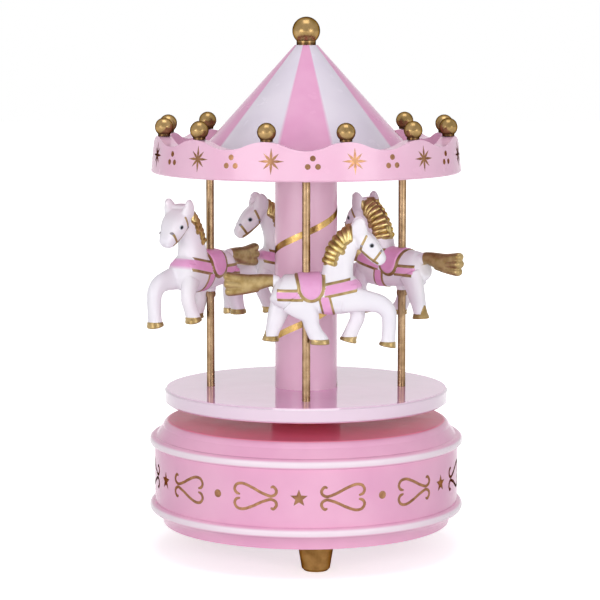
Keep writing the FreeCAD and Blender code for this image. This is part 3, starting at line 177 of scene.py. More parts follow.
# Painted shade: the lid's flat top, in shade under the platform, is painted a deeper rose that stands in
# for the red shade and reflections in that gap.
lid_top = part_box("base_lid")[1].z
on_top = ranged(tree, height, lid_top - LID_TOP_SKIN[0], lid_top - LID_TOP_SKIN[1])
colour = blended(tree, on_top, colour, LID_TOP_PAINTED_RED_SHADE)
tree.links.new(colour, surface.inputs["Base Color"])
gloss = ranged(tree, on_top, 0.0, 1.0, CASE_GLOSS, LID_TOP_GLOSS)
tree.links.new(gloss, surface.inputs["Specular IOR Level"])
coat = ranged(tree, on_top, 0.0, 1.0, LACQUER_COAT, 0.0)
tree.links.new(coat, surface.inputs["Coat Weight"])
dress(case_lacquer, "base_pan", "base_wall", "base_lid")

# Frieze on the wall: hot-stamped gold foil, a star between two heart scrolls and a dot, five times
# round. The strip's ends meet at the back, where two scrolls stand without their star.
FRIEZE_REPEATS = 5
FRIEZE_PITCH = math.radians(62.5)
FRIEZE_TURN = math.radians(-92.6)
FRIEZE_HEIGHT = 0.0264
FOIL_RISE = 0.00004
STAR_POINTS = 5
STAR_RADIUS = 0.0029
STAR_WAIST = 0.00125
DOT_RADIUS = 0.0013
DOT_CORNERS = 20
SCROLL_STEP = 0.0143
SCROLL_LINE = 0.00047
SCROLL_CURVE_STEPS = 6
TIP_STEEPNESS, TIP_WIDTH, TIP_ROUNDING = 12, 0.35, 0.6
SCROLL_PATH = [  # upper half of one heart scroll, tail tip to lobe end, in millimetres
    (-5.2, 3.3), (-6.2, 3.55), (-7.1, 2.4), (-6.8, 1.2), (-5.6, 0.55), (-4.4, 0.7), (-2.0, 1.6),
    (0.5, 2.85), (3.1, 3.9), (4.8, 4.15), (6.3, 3.7), (7.05, 2.35), (6.5, 1.1), (5.1, 0.58),
]
MM = 0.001
SAME_SPOT = 1e-7
SHINE_GRAIN, PIT_GRAIN = 2.3, 3.1
PIT_DEPTH = 0.00002


def eased(points, steps):
    """The points joined by a smooth line, with so many steps between each two."""
    rows = np.array(points, float)
    padded = np.vstack([2 * rows[0] - rows[1], rows, 2 * rows[-1] - rows[-2]])
    line = []
    for number in range(len(rows) - 1):
        before, start, end, after = padded[number:number + 4]
        for t in np.linspace(0, 1, steps, endpoint=False):
            line.append(0.5 * (2 * start + (end - before) * t
                               + (2 * before - 5 * start + 4 * end - after) * t ** 2
                               + (3 * start - before - 3 * end + after) * t ** 3))
    return np.array(line + [rows[-1]])


def foil_patch(bm, outline):
    """A film of foil with this outline, in the plane, sunk a little into what it lies on."""
    top = [bm.verts.new((u, v, FOIL_RISE)) for u, v in outline]
    foot = [bm.verts.new((u, v, -FOIL_RISE)) for u, v in outline]
    bm.faces.new(top)
    for number, corner in enumerate(top):
        after = (number + 1) % len(top)
        bm.faces.new((corner, foot[number], foot[after], top[after]))


def foil_star(bm, points, radius, waist):
    """A star with straight sides round the motif's middle, one point up."""
    for number in range(2 * points):
        reach = [waist if (number + k) % 2 else radius for k in (0, 1)]
        turns = [math.pi * (0.5 + (number + k) / points) for k in (0, 1)]
        corners = [(r * math.cos(a), r * math.sin(a)) for r, a in zip(reach, turns)]
        foil_patch(bm, [(0.0, 0.0), *corners])


def foil_dot(bm, radius, middle):
    turns = np.linspace(0, 2 * math.pi, DOT_CORNERS, endpoint=False)
    foil_patch(bm, [(middle[0] + radius * math.cos(a), middle[1] + radius * math.sin(a)) for a in turns])


def foil_line(bm, path, half_width):
    """A drawn line that thins to a blunt end at both tips."""
    along = np.gradient(path, axis=0)
    along /= np.linalg.norm(along, axis=1)[:, None]
    share = np.linspace(0, 1, len(path))
    full = np.clip(np.minimum(share, 1 - share) * TIP_STEEPNESS + TIP_WIDTH, 0, 1) ** TIP_ROUNDING
    side = np.stack([-along[:, 1], along[:, 0]], axis=1) * (half_width * full)[:, None]
    left, right = path + side, path - side
    for number in range(len(path) - 1):
        foil_patch(bm, [right[number], right[number + 1], left[number + 1], left[number]])


def foil_scrolls(bm, step):
    """Two heart scrolls, tail to tail, each with its middle this far from the spot between them."""
    for side in (-1, 1):
        for half in (-1, 1):
            path = eased(SCROLL_PATH, SCROLL_CURVE_STEPS) * MM
            path = np.stack([side * (path[:, 0] + step), half * path[:, 1]], axis=1)
            foil_line(bm, path, SCROLL_LINE)


def finished(name, bm, material=None):
    """The mesh as an object at the origin, with doubles merged and facing outwards."""
    bmesh.ops.remove_doubles(bm, verts=bm.verts, dist=SAME_SPOT)
    bmesh.ops.recalc_face_normals(bm, faces=bm.faces)
    mesh = bpy.data.meshes.new(name)
    bm.to_mesh(mesh)
    bm.free()
    piece = bpy.data.objects.new(name, mesh)
    bpy.context.collection.objects.link(piece)
    if material:
        mesh.materials.append(material)
    return piece


def shape_tree(name, **sizes):
    """An empty geometry tree with named inputs, and the nodes at its two ends."""
    kinds = {float: "NodeSocketFloat", int: "NodeSocketInt", bpy.types.Object: "NodeSocketObject",
             bpy.types.Material: "NodeSocketMaterial"}
    tree = bpy.data.node_groups.new(name, "GeometryNodeTree")
    tree.interface.new_socket("Geometry", in_out="INPUT", socket_type="NodeSocketGeometry")
    tree.interface.new_socket("Geometry", in_out="OUTPUT", socket_type="NodeSocketGeometry")
    for label, kind in sizes.items():
        tree.interface.new_socket(label, in_out="INPUT", socket_type=kinds[kind])
    return tree, node(tree, "NodeGroupInput").outputs, node(tree, "NodeGroupOutput")


def coated(tree, end, shape, finish):
    """Closes a geometry tree: real geometry with one finish goes to its end."""
    whole = node(tree, "GeometryNodeRealizeInstances", {"Geometry": shape})
    covered = node(tree, "GeometryNodeSetMaterial", {"Geometry": whole.outputs[0], "Material": finish})
    tree.links.new(covered.outputs[0], end.inputs[0])
    return tree


def grown(name, tree, mesh=None, **sizes):
    """The shape that a tree makes with these sizes, kept as a plain mesh."""
    piece = bpy.data.objects.new(name, mesh or bpy.data.meshes.new(name))
    bpy.context.collection.objects.link(piece)
    modifier = piece.modifiers.new(tree.name, "NODES")
    modifier.node_group = tree
    for socket in tree.interface.items_tree:
        if socket.in_out == "INPUT" and socket.name in sizes:
            modifier[socket.identifier] = sizes[socket.name]
    depsgraph = bpy.context.evaluated_depsgraph_get()
    piece.data = bpy.data.meshes.new_from_object(piece.evaluated_get(depsgraph))
    piece.modifiers.remove(modifier)
    return piece


def round_about(tree, radius, turn, level):
    """The spot at this radius, turn and height round the upright axis."""
    return node(tree, "ShaderNodeCombineXYZ", {
        "X": maths(tree, "MULTIPLY", radius, maths(tree, "COSINE", turn)),
        "Y": maths(tree, "MULTIPLY", radius, maths(tree, "SINE", turn)),
        "Z": level}).outputs[0]


def foil_ring_tree():
    """Repeats a flat motif along a strip and wraps the strip round a wall that may lean."""
    tree, given, end = shape_tree("foil_ring", motif=bpy.types.Object, repeats=int, wall_radius=float,
                                  lean=float, middle_height=float, first_turn=float,
                                  pitch=float, foil=bpy.types.Material)
    spacing = maths(tree, "MULTIPLY", given["wall_radius"], given["pitch"])
    step = node(tree, "ShaderNodeCombineXYZ", {"X": spacing})
    strip = node(tree, "GeometryNodeMeshLine", {"Count": given["repeats"], "Offset": step.outputs[0]})
    motif = node(tree, "GeometryNodeObjectInfo", {"Object": given["motif"]})
    row = node(tree, "GeometryNodeInstanceOnPoints", {"Points": strip.outputs["Mesh"],
                                                      "Instance": motif.outputs["Geometry"]})
    flat = node(tree, "GeometryNodeRealizeInstances", {"Geometry": row.outputs["Instances"]})
    spot = node(tree, "GeometryNodeInputPosition").outputs["Position"]
    along, up, out = node(tree, "ShaderNodeSeparateXYZ", {"Vector": spot}).outputs
    turn = maths(tree, "ADD", maths(tree, "DIVIDE", along, given["wall_radius"]), given["first_turn"])
    set_in = maths(tree, "SUBTRACT", out, maths(tree, "MULTIPLY", up, given["lean"]))
    radius = maths(tree, "ADD", given["wall_radius"], set_in)
    level = maths(tree, "ADD", up, given["middle_height"])
    wrapped = node(tree, "GeometryNodeSetPosition", {"Geometry": flat.outputs[0],
                                                     "Position": round_about(tree, radius, turn, level)})
    return coated(tree, end, wrapped.outputs[0], given["foil"])


def gilding(name, bright, dark, edge, smooth, dull, speckle):
    """Gold leaf, foil or plating: uneven in tone and shine, with a brown cast at its edges."""
    material, tree, surface = fresh(name)
    place = object_place(tree)
    colour = graded(tree, grain(tree, place, speckle, 4.0), (0.3, dark), (0.62, bright))
    tree.links.new(colour, surface.inputs["Base Color"])
    shine = ranged(tree, grain(tree, place, SHINE_GRAIN * speckle), 0.3, 0.7, smooth, dull)
    tree.links.new(shine, surface.inputs["Roughness"])
    roughen(tree, surface, grain(tree, place, PIT_GRAIN * speckle), PIT_DEPTH)
    surface.inputs["Metallic"].default_value = 1.0
    surface.inputs["Specular Tint"].default_value = tone(edge)
    return material, tree, surface, place, colour


stamped_foil, *_ = gilding("stamped_foil", bright="9E7656", dark="805A42", edge="3A1E1A",
                           smooth=0.24, dull=0.4, speckle=500.0)
foil_ring = foil_ring_tree()
half_pitch = 0.5 * FRIEZE_PITCH * wall_high.x
half_seam = math.pi * wall_high.x - FRIEZE_REPEATS * half_pitch
star_plan, seam_plan = bmesh.new(), bmesh.new()
foil_star(star_plan, STAR_POINTS, STAR_RADIUS, STAR_WAIST)
foil_scrolls(star_plan, SCROLL_STEP)
foil_dot(star_plan, DOT_RADIUS, (half_pitch, 0.0))
foil_scrolls(seam_plan, SCROLL_STEP - half_pitch + half_seam)
foil_dot(seam_plan, DOT_RADIUS, (half_seam, 0.0))
for name, plan, repeats, turn in (("wall_frieze", star_plan, FRIEZE_REPEATS, -2 * FRIEZE_PITCH),
                                  ("frieze_seam", seam_plan, 1, math.pi)):
    motif = finished("frieze_motif", plan)
    frieze = grown(name, foil_ring, motif=motif, repeats=repeats, wall_radius=wall_high.x, lean=0.0,
                   middle_height=FRIEZE_HEIGHT, first_turn=FRIEZE_TURN + turn, pitch=FRIEZE_PITCH,
                   foil=stamped_foil)
    bpy.data.objects.remove(motif)
    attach(frieze, "base")

# Feet: three short tapered knobs, turned and metallized in an old gold.
# Each is held by a screw that comes down into it through the floor of the pan.
foot_gold, *_ = gilding("foot_gold", bright="9E7A46", dark="7A592E", edge="5A3C20",
                        smooth=0.3, dull=0.45, speckle=260.0)
dress(foot_gold, "front_foot", "rear_right_foot", "rear_left_foot")

# Movement and fastenings: plated steel plate, barrel, comb and screws, and turned brass wheels,
# drum and bearings. They sit out of sight in the base, as the real ones do.
TOOL_LINES, LINE_WAVER = 900.0, 6.0
FILM_GRAIN = 160.0
LINE_SHARE, FILM_SHARE = 0.3, 0.7
LINE_DEPTH = 0.00001


def turned_metal(name, bright, dark, smooth, dull):
    """Bare metal with fine tool lines and a light film of oil."""
    material, tree, surface = fresh(name)
    place = object_place(tree)
    wave = node(tree, "ShaderNodeTexWave", {"Vector": place, "Scale": TOOL_LINES, "Detail": 2.0,
                                            "Distortion": LINE_WAVER}, bands_direction="Z")
    lines = wave.outputs["Fac"]
    film = grain(tree, place, FILM_GRAIN, 3.0)
    wear = maths(tree, "MULTIPLY_ADD", lines, LINE_SHARE, maths(tree, "MULTIPLY", film, FILM_SHARE))
    tree.links.new(graded(tree, wear, (0.25, dark), (0.7, bright)), surface.inputs["Base Color"])
    tree.links.new(ranged(tree, film, 0.3, 0.7, smooth, dull), surface.inputs["Roughness"])
    roughen(tree, surface, lines, LINE_DEPTH)
    surface.inputs["Metallic"].default_value = 1.0
    return material


bright_steel = turned_metal("bright_steel", bright="D8DADD", dark="A9ACB2", smooth=0.22, dull=0.36)
turned_brass = turned_metal("turned_brass", bright="D9B667", dark="A98440", smooth=0.2, dull=0.34)
dress(bright_steel, "foot_screws", "case_screws", "movement_screws", "movement_bedplate",
      "spring_barrel", "barrel_cover", "mainspring", "comb", "comb_screws", "drive_shaft", "click",
      "hub_screws", "tie_rod", "cylinder_axle", "governor_arbor", "worm_shaft")
dress(turned_brass, "shaft_bush", "tune_cylinder", "cylinder_pinion", "cylinder_wheel", "worm_wheel",
      "governor_pinion", "drive_wheel", "ratchet_wheel", "cylinder_inner_bearing",
      "cylinder_outer_bearing", "comb_block", "governor_frame")
fly_plastic, *_ = lacquer("fly_plastic", "D9D6CE", "C9C5BB", smooth=0.45, dull=0.6)
dress(fly_plastic, "fly")

# Turntable: a deep pink hub on the shaft and the round platform on it. The platform is lacquered
# like a mirror on top, and its rim shows a paler, thinner coat.
PLATFORM_PINK = "FCBCEC"
PLATFORM_PINK_DEEP = "F7B4E4"
RIM_PINK = "EBD3E6"
UNDERSIDE_ROSE_AND_SHADE = "F98CAE"
RIM_BAND = (0.0008, 0.00024)
UNDERSIDE_SKIN = (0.00004, 0.00012)
PLATFORM_GLOSS, PLATFORM_COAT = 0.8, 0.4
hub_lacquer, *_ = lacquer("hub_lacquer", "F22C58", "E0224C", smooth=0.2, dull=0.3)
dress(hub_lacquer, "turntable_hub")
platform_lacquer, tree, surface, place, colour = lacquer(
    "platform_lacquer", PLATFORM_PINK, PLATFORM_PINK_DEEP, smooth=0.05, dull=0.09)
flat_place = node(tree, "ShaderNodeVectorMath", {0: place, 1: (1, 1, 0)}, operation="MULTIPLY")
across = node(tree, "ShaderNodeVectorMath", {0: flat_place.outputs[0]}, operation="LENGTH")
platform_low, platform_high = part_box("platform")
rim = platform_high.x
on_rim = ranged(tree, across.outputs["Value"], rim - RIM_BAND[0], rim - RIM_BAND[1])
colour = blended(tree, on_rim, colour, RIM_PINK)
# The underside is painted a deeper rose: partly the plastic's own colour, and partly painted shade for
# the red shade in the gap over the lid.
above = maths(tree, "SUBTRACT", height_in(tree, place), platform_low.z)
colour = blended(tree, ranged(tree, above, *UNDERSIDE_SKIN, 1.0, 0.0), colour, UNDERSIDE_ROSE_AND_SHADE)
tree.links.new(colour, surface.inputs["Base Color"])
surface.inputs["Specular IOR Level"].default_value = PLATFORM_GLOSS
surface.inputs["Coat Weight"].default_value = PLATFORM_COAT
dress(platform_lacquer, "platform")

# Centre column: a lacquered tube that stands on the platform and carries the canopy deck.
# A gold ribbon is painted on it, winding up from the platform to the deck.
RIBBON_WIDTH = 0.0023
RIBBON_PITCH = 0.0296
RIBBON_HEIGHT_AT_FRONT = 0.1071
RIBBON_STEPS = 360
RIBBON_ROWS = 4
column_lacquer, *_ = lacquer("column_lacquer", "EEC8DC", "E7BCD3", smooth=0.17, dull=0.27)
dress(column_lacquer, "centre_column", "canopy_deck")


def ribbon_tree():
    """A strip wound round a column: it climbs by the pitch at each turn, between two heights."""
    tree, given, end = shape_tree("wound_ribbon", column_radius=float, width=float, pitch=float,
                                  rise=float, first_turn=float, low=float, high=float, steps=int,
                                  paint=bpy.types.Material)
    strip = node(tree, "GeometryNodeMeshGrid", {"Size X": 1.0, "Size Y": 1.0,
                                                "Vertices X": given["steps"], "Vertices Y": RIBBON_ROWS})
    spot = node(tree, "GeometryNodeInputPosition").outputs["Position"]
    along, across, _ = node(tree, "ShaderNodeSeparateXYZ", {"Vector": spot}).outputs
    span = maths(tree, "SUBTRACT", given["high"], given["low"])
    climbed = maths(tree, "MULTIPLY", maths(tree, "ADD", along, 0.5), span)
    climb = maths(tree, "ADD", given["low"], climbed)
    turns = maths(tree, "DIVIDE", maths(tree, "SUBTRACT", climb, given["low"]), given["pitch"])
    turn = maths(tree, "MULTIPLY_ADD", turns, 2 * math.pi, given["first_turn"])
    level = maths(tree, "ADD", climb, maths(tree, "MULTIPLY", across, given["width"]))
    level = maths(tree, "MINIMUM", maths(tree, "MAXIMUM", level, given["low"]), given["high"])
    radius = maths(tree, "ADD", given["column_radius"], given["rise"])
    wound = node(tree, "GeometryNodeSetPosition", {"Geometry": strip.outputs["Mesh"],
                                                   "Position": round_about(tree, radius, turn, level)})
    return coated(tree, end, wound.outputs[0], given["paint"])


ribbon_gold, *_ = gilding("ribbon_gold", bright="BF9E66", dark="A07F4A", edge="6A4A2C",
                          smooth=0.24, dull=0.36, speckle=380.0)
column_low, column_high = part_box("centre_column")
front_turn = -0.5 * math.pi
foot_turn = front_turn - 2 * math.pi * (RIBBON_HEIGHT_AT_FRONT - column_low.z) / RIBBON_PITCH
ribbon = grown("column_ribbon", ribbon_tree(), column_radius=column_high.x, width=RIBBON_WIDTH,
               pitch=RIBBON_PITCH, rise=FOIL_RISE, first_turn=foot_turn, low=column_low.z,
               high=column_high.z, steps=RIBBON_STEPS, paint=ribbon_gold)
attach(ribbon, "carousel")

# Poles and collars: four gold plated rods, seated in blind holes in the platform and the deck.
# A turned collar on each rod carries its horse.
pole_gold, *_ = gilding("pole_gold", bright="A3886A", dark="82684A", edge="4E3624",
                        smooth=0.24, dull=0.38, speckle=300.0)
dress(pole_gold, *[f"{quarter}_{piece}" for quarter in ("front", "right", "back", "left")
                   for piece in ("pole", "collar")])

# Horses: cast in white resin, each in one piece with its ears, legs, tail and the core of its mane.
# All four come from one mould, and a boss under the belly takes the pole and rests on the collar.
HORSE_HEADINGS = {"front": 0, "right": 135, "back": 195, "left": 235.5}
SKIN_VOXEL = 0.24
SKIN_EASE, SKIN_EASE_FACTOR = 6, 0.5
LIMB_STEPS, LIMB_CORNERS, LIMB_LEAST_HALF = 6, 28, 0.15
LIMB_SQUARENESS, NECK_SQUARENESS, HEAD_SQUARENESS = 2.2, 2.6, 3.0
# Stations of each limb, in millimetres from pole and collar: forward, up, half depth, half breadth.
TRUNK = [(-10.7, 9.3, 0.8, 1.0), (-10.2, 9.1, 3.3, 2.8), (-8.7, 8.4, 5.0, 4.3), (-5.6, 7.8, 5.8, 5.0),
         (0.0, 7.4, 6.2, 5.2), (5.8, 7.2, 6.5, 5.3), (11.6, 7.2, 6.5, 5.5), (15.0, 7.6, 5.8, 5.3),
         (17.0, 7.8, 4.0, 4.3), (18.1, 7.8, 1.6, 2.4)]
NECK = [(9.9, 10.0, 5.7, 4.7), (10.1, 14.7, 5.0, 4.0), (10.9, 18.9, 4.6, 3.6), (12.7, 23.0, 4.1, 3.4),
        (14.6, 26.2, 3.0, 3.4), (15.6, 28.2, 2.3, 3.3), (16.2, 29.6, 1.8, 3.0), (16.4, 30.1, 0.9, 2.2)]
HEAD = [(16.0, 29.0, 0.9, 3.6), (16.9, 27.3, 2.1, 4.4), (19.1, 24.1, 3.2, 4.4), (20.8, 21.9, 3.2, 3.8),
        (22.3, 19.9, 2.8, 3.1), (23.4, 18.6, 2.4, 2.6), (24.2, 17.6, 1.9, 2.2), (24.7, 17.0, 0.9, 1.3)]
EAR = [(17.2, 25.2, 1.2, 0.7), (16.9, 26.8, 2.6, 1.5), (16.9, 28.8, 2.6, 1.4), (17.3, 30.4, 2.0, 1.0),
       (18.1, 31.5, 1.0, 0.55)]
EAR_SPREAD, EAR_LEAN = 3.0, 1.4
MANE_CORE = [(6.9, 16.8, 0.9, 1.0), (7.5, 20.4, 1.3, 1.4), (9.8, 24.5, 1.4, 1.6), (12.6, 27.4, 1.2, 1.6),
             (15.2, 28.9, 0.7, 1.2)]
BELLY_BOSS = [(0.0, 0.0, 1.75, 1.75), (0.0, 1.2, 1.8, 1.8), (0.0, 3.0, 1.9, 1.9)]
LEG_SPREAD = 3.1
RIGHT_LEGS = [
    [(11.8, 6.0, 4.5, 2.5), (17.0, 5.5, 3.8, 2.5), (20.6, 5.0, 3.3, 2.5), (23.8, 4.1, 3.0, 2.5),
     (26.0, 2.0, 2.75, 2.4), (26.6, -0.8, 2.4, 2.3), (26.5, -5.0, 2.25, 2.2), (26.3, -7.8, 2.35, 2.4),
     (26.0, -9.4, 2.8, 2.7)],
    [(-4.2, 6.0, 5.1, 2.5), (-1.1, 3.2, 4.5, 2.5), (1.1, 0.2, 3.1, 2.5), (1.7, -2.4, 2.55, 2.3),
     (2.9, -5.3, 2.55, 2.2), (4.4, -7.5, 2.7, 2.4), (4.5, -8.7, 3.1, 2.7)],
]
LEFT_LEGS = [
    [(14.6, 5.4, 3.3, 2.5), (16.2, 1.9, 2.6, 2.4), (16.6, -0.8, 2.4, 2.3), (15.2, -4.2, 2.3, 2.2),
     (13.9, -7.2, 2.4, 2.4), (13.5, -8.6, 2.9, 2.7)],
    [(-6.7, 5.9, 4.4, 2.5), (-8.6, 1.8, 3.5, 2.5), (-9.9, -2.0, 2.9, 2.3), (-11.0, -5.6, 2.3, 2.2),
     (-11.4, -7.2, 2.4, 2.4), (-11.5, -8.4, 2.8, 2.7)],
]
TAIL_LOBES = [
    [(-8.8, 11.2, 1.6, 1.5), (-10.6, 11.5, 1.9, 1.7), (-14.0, 11.2, 2.4, 1.9), (-17.8, 10.5, 3.0, 2.1),
     (-20.4, 10.2, 3.1, 2.0), (-22.8, 10.1, 2.0, 1.4)],
    [(-15.4, 12.0, 1.5, 1.4), (-19.4, 11.8, 1.7, 1.7), (-22.9, 12.2, 1.7, 1.9), (-25.6, 12.9, 1.4, 1.7),
     (-26.5, 13.2, 0.7, 0.9)],
    [(-18.4, 10.2, 1.5, 1.7), (-22.9, 10.2, 1.5, 2.2), (-25.7, 10.4, 1.4, 2.0), (-26.5, 10.4, 0.7, 1.0)],
    [(-15.4, 9.3, 1.5, 1.4), (-19.4, 8.7, 1.7, 1.7), (-22.4, 8.2, 1.6, 1.9), (-25.1, 7.8, 1.4, 1.7),
     (-26.1, 7.7, 0.7, 0.9)],
]
HORSE_LEGS = ((-LEG_SPREAD, RIGHT_LEGS), (LEG_SPREAD, LEFT_LEGS))


def limb(bm, stations, side=0.0, lean=0.0, squareness=LIMB_SQUARENESS):
    """A closed tube with rounded-square rings through the stations, off to a side and leaning out."""
    rows = eased(stations, LIMB_STEPS)
    rows[:, 2:] = np.maximum(rows[:, 2:], LIMB_LEAST_HALF)
    ahead = np.gradient(rows[:, :2], axis=0)
    ahead /= np.linalg.norm(ahead, axis=1)[:, None]
    turns = np.linspace(0, 2 * math.pi, LIMB_CORNERS, endpoint=False)
    deep, wide = [np.sign(v) * np.abs(v) ** (2 / squareness) for v in (np.cos(turns), np.sin(turns))]
    sides = np.linspace(side, side + lean, len(rows))
    rings = [[bm.verts.new((forward - lead[1] * depth * d, off + breadth * w, up + lead[0] * depth * d))
              for d, w in zip(deep, wide)]
             for (forward, up, depth, breadth), lead, off in zip(rows, ahead, sides)]
    for first, second in zip(rings, rings[1:]):
        for number in range(LIMB_CORNERS):
            after = (number + 1) % LIMB_CORNERS
            bm.faces.new((first[number], first[after], second[after], second[number]))
    bm.faces.new(rings[0])
    bm.faces.new(rings[-1])


horse_plan = bmesh.new()
limb(horse_plan, TRUNK)
limb(horse_plan, NECK, squareness=NECK_SQUARENESS)
for stations in (MANE_CORE, BELLY_BOSS, *TAIL_LOBES):
    limb(horse_plan, stations)
limb(horse_plan, HEAD, squareness=HEAD_SQUARENESS)
for side, legs in HORSE_LEGS:
    for stations in legs:
        limb(horse_plan, stations, side)
for side in (-1, 1):
    limb(horse_plan, EAR, side * EAR_SPREAD, side * EAR_LEAN)
horse_core = finished("horse_core", horse_plan)
skin = horse_core.modifiers.new("skin", "REMESH")
skin.mode = "VOXEL"
skin.voxel_size = SKIN_VOXEL
ease = horse_core.modifiers.new("ease", "SMOOTH")
ease.factor = SKIN_EASE_FACTOR
ease.iterations = SKIN_EASE
depsgraph = bpy.context.evaluated_depsgraph_get()
horse_mesh = bpy.data.meshes.new_from_object(horse_core.evaluated_get(depsgraph))
bpy.data.objects.remove(horse_core)
horse_mesh.shade_smooth()

# Saddle, harness and bridle: cast with the horse, a little proud of it, in pink with gold edges.
# Each is a field on the horse seen from its side, given as depth inside its outline in millimetres.
SADDLE_MIDDLE, SADDLE_HALF, SADDLE_WAIST, SADDLE_DROP = 1.6, 3.45, 10.0, 4.1
SADDLE_BORDER, SADDLE_FLARE = 1.1, 0.25
SADDLE_FOOT, SADDLE_TOP = 3.0, 13.7
BREAST_HALF, BREAST_HEIGHT, BREAST_PLACE, BREAST_RISE, BREAST_START = 1.5, 8.9, 7.6, 0.215, 5.8
BREECH_HALF, BREECH_HEIGHT, BREECH_START = 1.0, 7.15, -1.0
GIRTH_HALF, GIRTH_PLACE, GIRTH_HEIGHT, GIRTH_RAKE = 1.35, 6.1, 5.4, 0.25
GIRTH_FOOT, GIRTH_TOP, GIRTH_FRONT, GIRTH_GROWTH = -1.0, 6.6, 11.5, 0.8
BAND_LINE = 0.95
BAND_ENDS = (30.0, 30.0, -9.5)
LINE_ENDS = (14.2, 16.4, -9.3)
CHEST_FADE_START, CHEST_FADE_RUN, CHEST_FADE = 13.5, 3.0, 0.85
CHEEK_STRAP = [(19.2, 26.1), (17.7, 23.2), (17.3, 21.5)]
JAW_STRAP = [(17.3, 21.5), (20.1, 19.1), (22.8, 17.2)]
NOSE_STRAP = [(24.0, 21.2), (21.5, 17.9)]
STRAP_HALF = 0.4
FACE_FRONT = 1.7
RINGS = [(17.6, 23.0), (24.0, 21.2)]
RING_RADIUS = 0.45
EYE = (20.9, 23.1)
EYE_RADIUS = 0.95
OUTSIDE = -9.0


def vectors(values, name):
    """One vector for each member of a mesh list, as rows."""
    rows = np.empty(3 * len(values))
    values.foreach_get(name, rows)
    return rows.reshape(-1, 3)


def off_path(spots, path):
    """How far each side-view spot is from a broken line."""
    nearest = np.full(len(spots), np.inf)
    for start, end in zip(path, path[1:]):
        run = np.subtract(end, start)
        share = np.clip((spots - start) @ run / (run @ run), 0, 1)
        nearest = np.minimum(nearest, np.linalg.norm(spots - start - share[:, None] * run, axis=1))
    return nearest


spots = vectors(horse_mesh.vertices, "co")
forward, sideways, up = spots.T
profile = spots[:, [0, 2]]


def saddle_field(grow):
    """Saddle with a round flap on each side, wider by grow; it flares to the rear over the back."""
    half = SADDLE_HALF + grow
    across = np.abs(forward - SADDLE_MIDDLE)
    flare = SADDLE_FLARE * np.maximum(up - SADDLE_WAIST, 0)
    across = np.where(forward < SADDLE_MIDDLE, across - flare, across)
    flap = half * (1 - np.hypot(across / half, (SADDLE_WAIST - up) / (SADDLE_DROP + grow)))
    field = np.where(up > SADDLE_WAIST, half - across, flap)
    return np.where((up > SADDLE_FOOT) & (up < SADDLE_TOP), field, OUTSIDE)


def harness_fields(grow, over_chest, under_chest, rump):
    """Breast band, breeching and girth, wider by grow; the band's two edges end at the chest."""
    band_line = BREAST_HEIGHT + BREAST_RISE * (forward - BREAST_PLACE)
    chest = np.where(up > band_line, over_chest, under_chest)
    breast = BREAST_HALF + grow - np.abs(up - band_line)
    breast = np.where((forward > BREAST_START) & (forward < chest), breast, OUTSIDE)
    breech = BREECH_HALF + grow - np.abs(up - BREECH_HEIGHT)
    breech = np.where((forward < BREECH_START) & (forward > rump), breech, OUTSIDE)
    girth_line = forward - GIRTH_PLACE - GIRTH_RAKE * (GIRTH_HEIGHT - up)
    girth = GIRTH_HALF + GIRTH_GROWTH * grow - np.abs(girth_line)
    girth = np.where((up < GIRTH_TOP) & (up > GIRTH_FOOT) & (forward < GIRTH_FRONT), girth, OUTSIDE)
    return np.maximum(np.maximum(breast, breech), girth)


saddle, saddle_edge = saddle_field(0.0), saddle_field(SADDLE_BORDER)
harness, harness_edge = harness_fields(0.0, *BAND_ENDS), harness_fields(BAND_LINE, *LINE_ENDS)
harness *= 1 - CHEST_FADE * np.clip((forward - CHEST_FADE_START) / CHEST_FADE_RUN, 0, 1)
off_straps = np.min([off_path(profile, strap) for strap in (CHEEK_STRAP, JAW_STRAP, NOSE_STRAP)], axis=0)
straps = np.minimum(STRAP_HALF - off_straps, np.abs(sideways) - FACE_FRONT)
iris = EYE_RADIUS - np.linalg.norm(profile - EYE, axis=1)
ring = np.max([RING_RADIUS - np.linalg.norm(profile - spot, axis=1) for spot in RINGS], axis=0)
ring = np.minimum(ring, np.abs(sideways) - FACE_FRONT)

# Hooves, tail and mane: cast with the horse and gilded. The mane has eight thick locks a side,
# combed forward from the crest in three bunches; the tail is gilded from its dock to its end.
HOOF_HEIGHT, HOOF_REACH = 1.6, 4.6
TAIL_START, TAIL_ALL = -10.6, -13.0
DOCK_HEIGHT, DOCK_HALF = 11.4, 2.2
LOCKS = [  # root on the crest and tip on the neck, lowest first
    ((5.8, 18.2), (9.0, 17.3)), ((6.1, 20.0), (9.4, 18.9)), ((6.8, 21.7), (9.8, 20.3)),
    ((7.8, 23.5), (11.5, 21.0)), ((9.1, 25.3), (11.9, 22.6)), ((10.6, 26.8), (12.5, 23.9)),
    ((12.2, 28.0), (13.1, 24.3)), ((13.6, 28.9), (13.9, 24.9)),
]
CREST_HALF, LOCK_HALF = 1.6, 1.0
POLL_START, POLL_HALF = 13.6, 2.0
hooves = np.full(len(spots), OUTSIDE)
for side, legs in HORSE_LEGS:
    for stations in legs:
        sole = np.array([stations[-1][0], side, stations[-1][1]])
        near = np.linalg.norm(spots - sole, axis=1) < HOOF_REACH
        hooves = np.where(near, np.maximum(hooves, HOOF_HEIGHT - (up - sole[2])), hooves)
dock = np.minimum(TAIL_START - forward, DOCK_HALF - np.abs(up - DOCK_HEIGHT))
tail = np.where(forward < TAIL_ALL, 1.0, dock)
mane = CREST_HALF - off_path(profile, [root for root, tip in LOCKS])
mane = np.where((forward > POLL_START) & (np.abs(sideways) > POLL_HALF), OUTSIDE, mane)
for root, tip in LOCKS:
    mane = np.maximum(mane, LOCK_HALF - off_path(profile, [root, tip]))

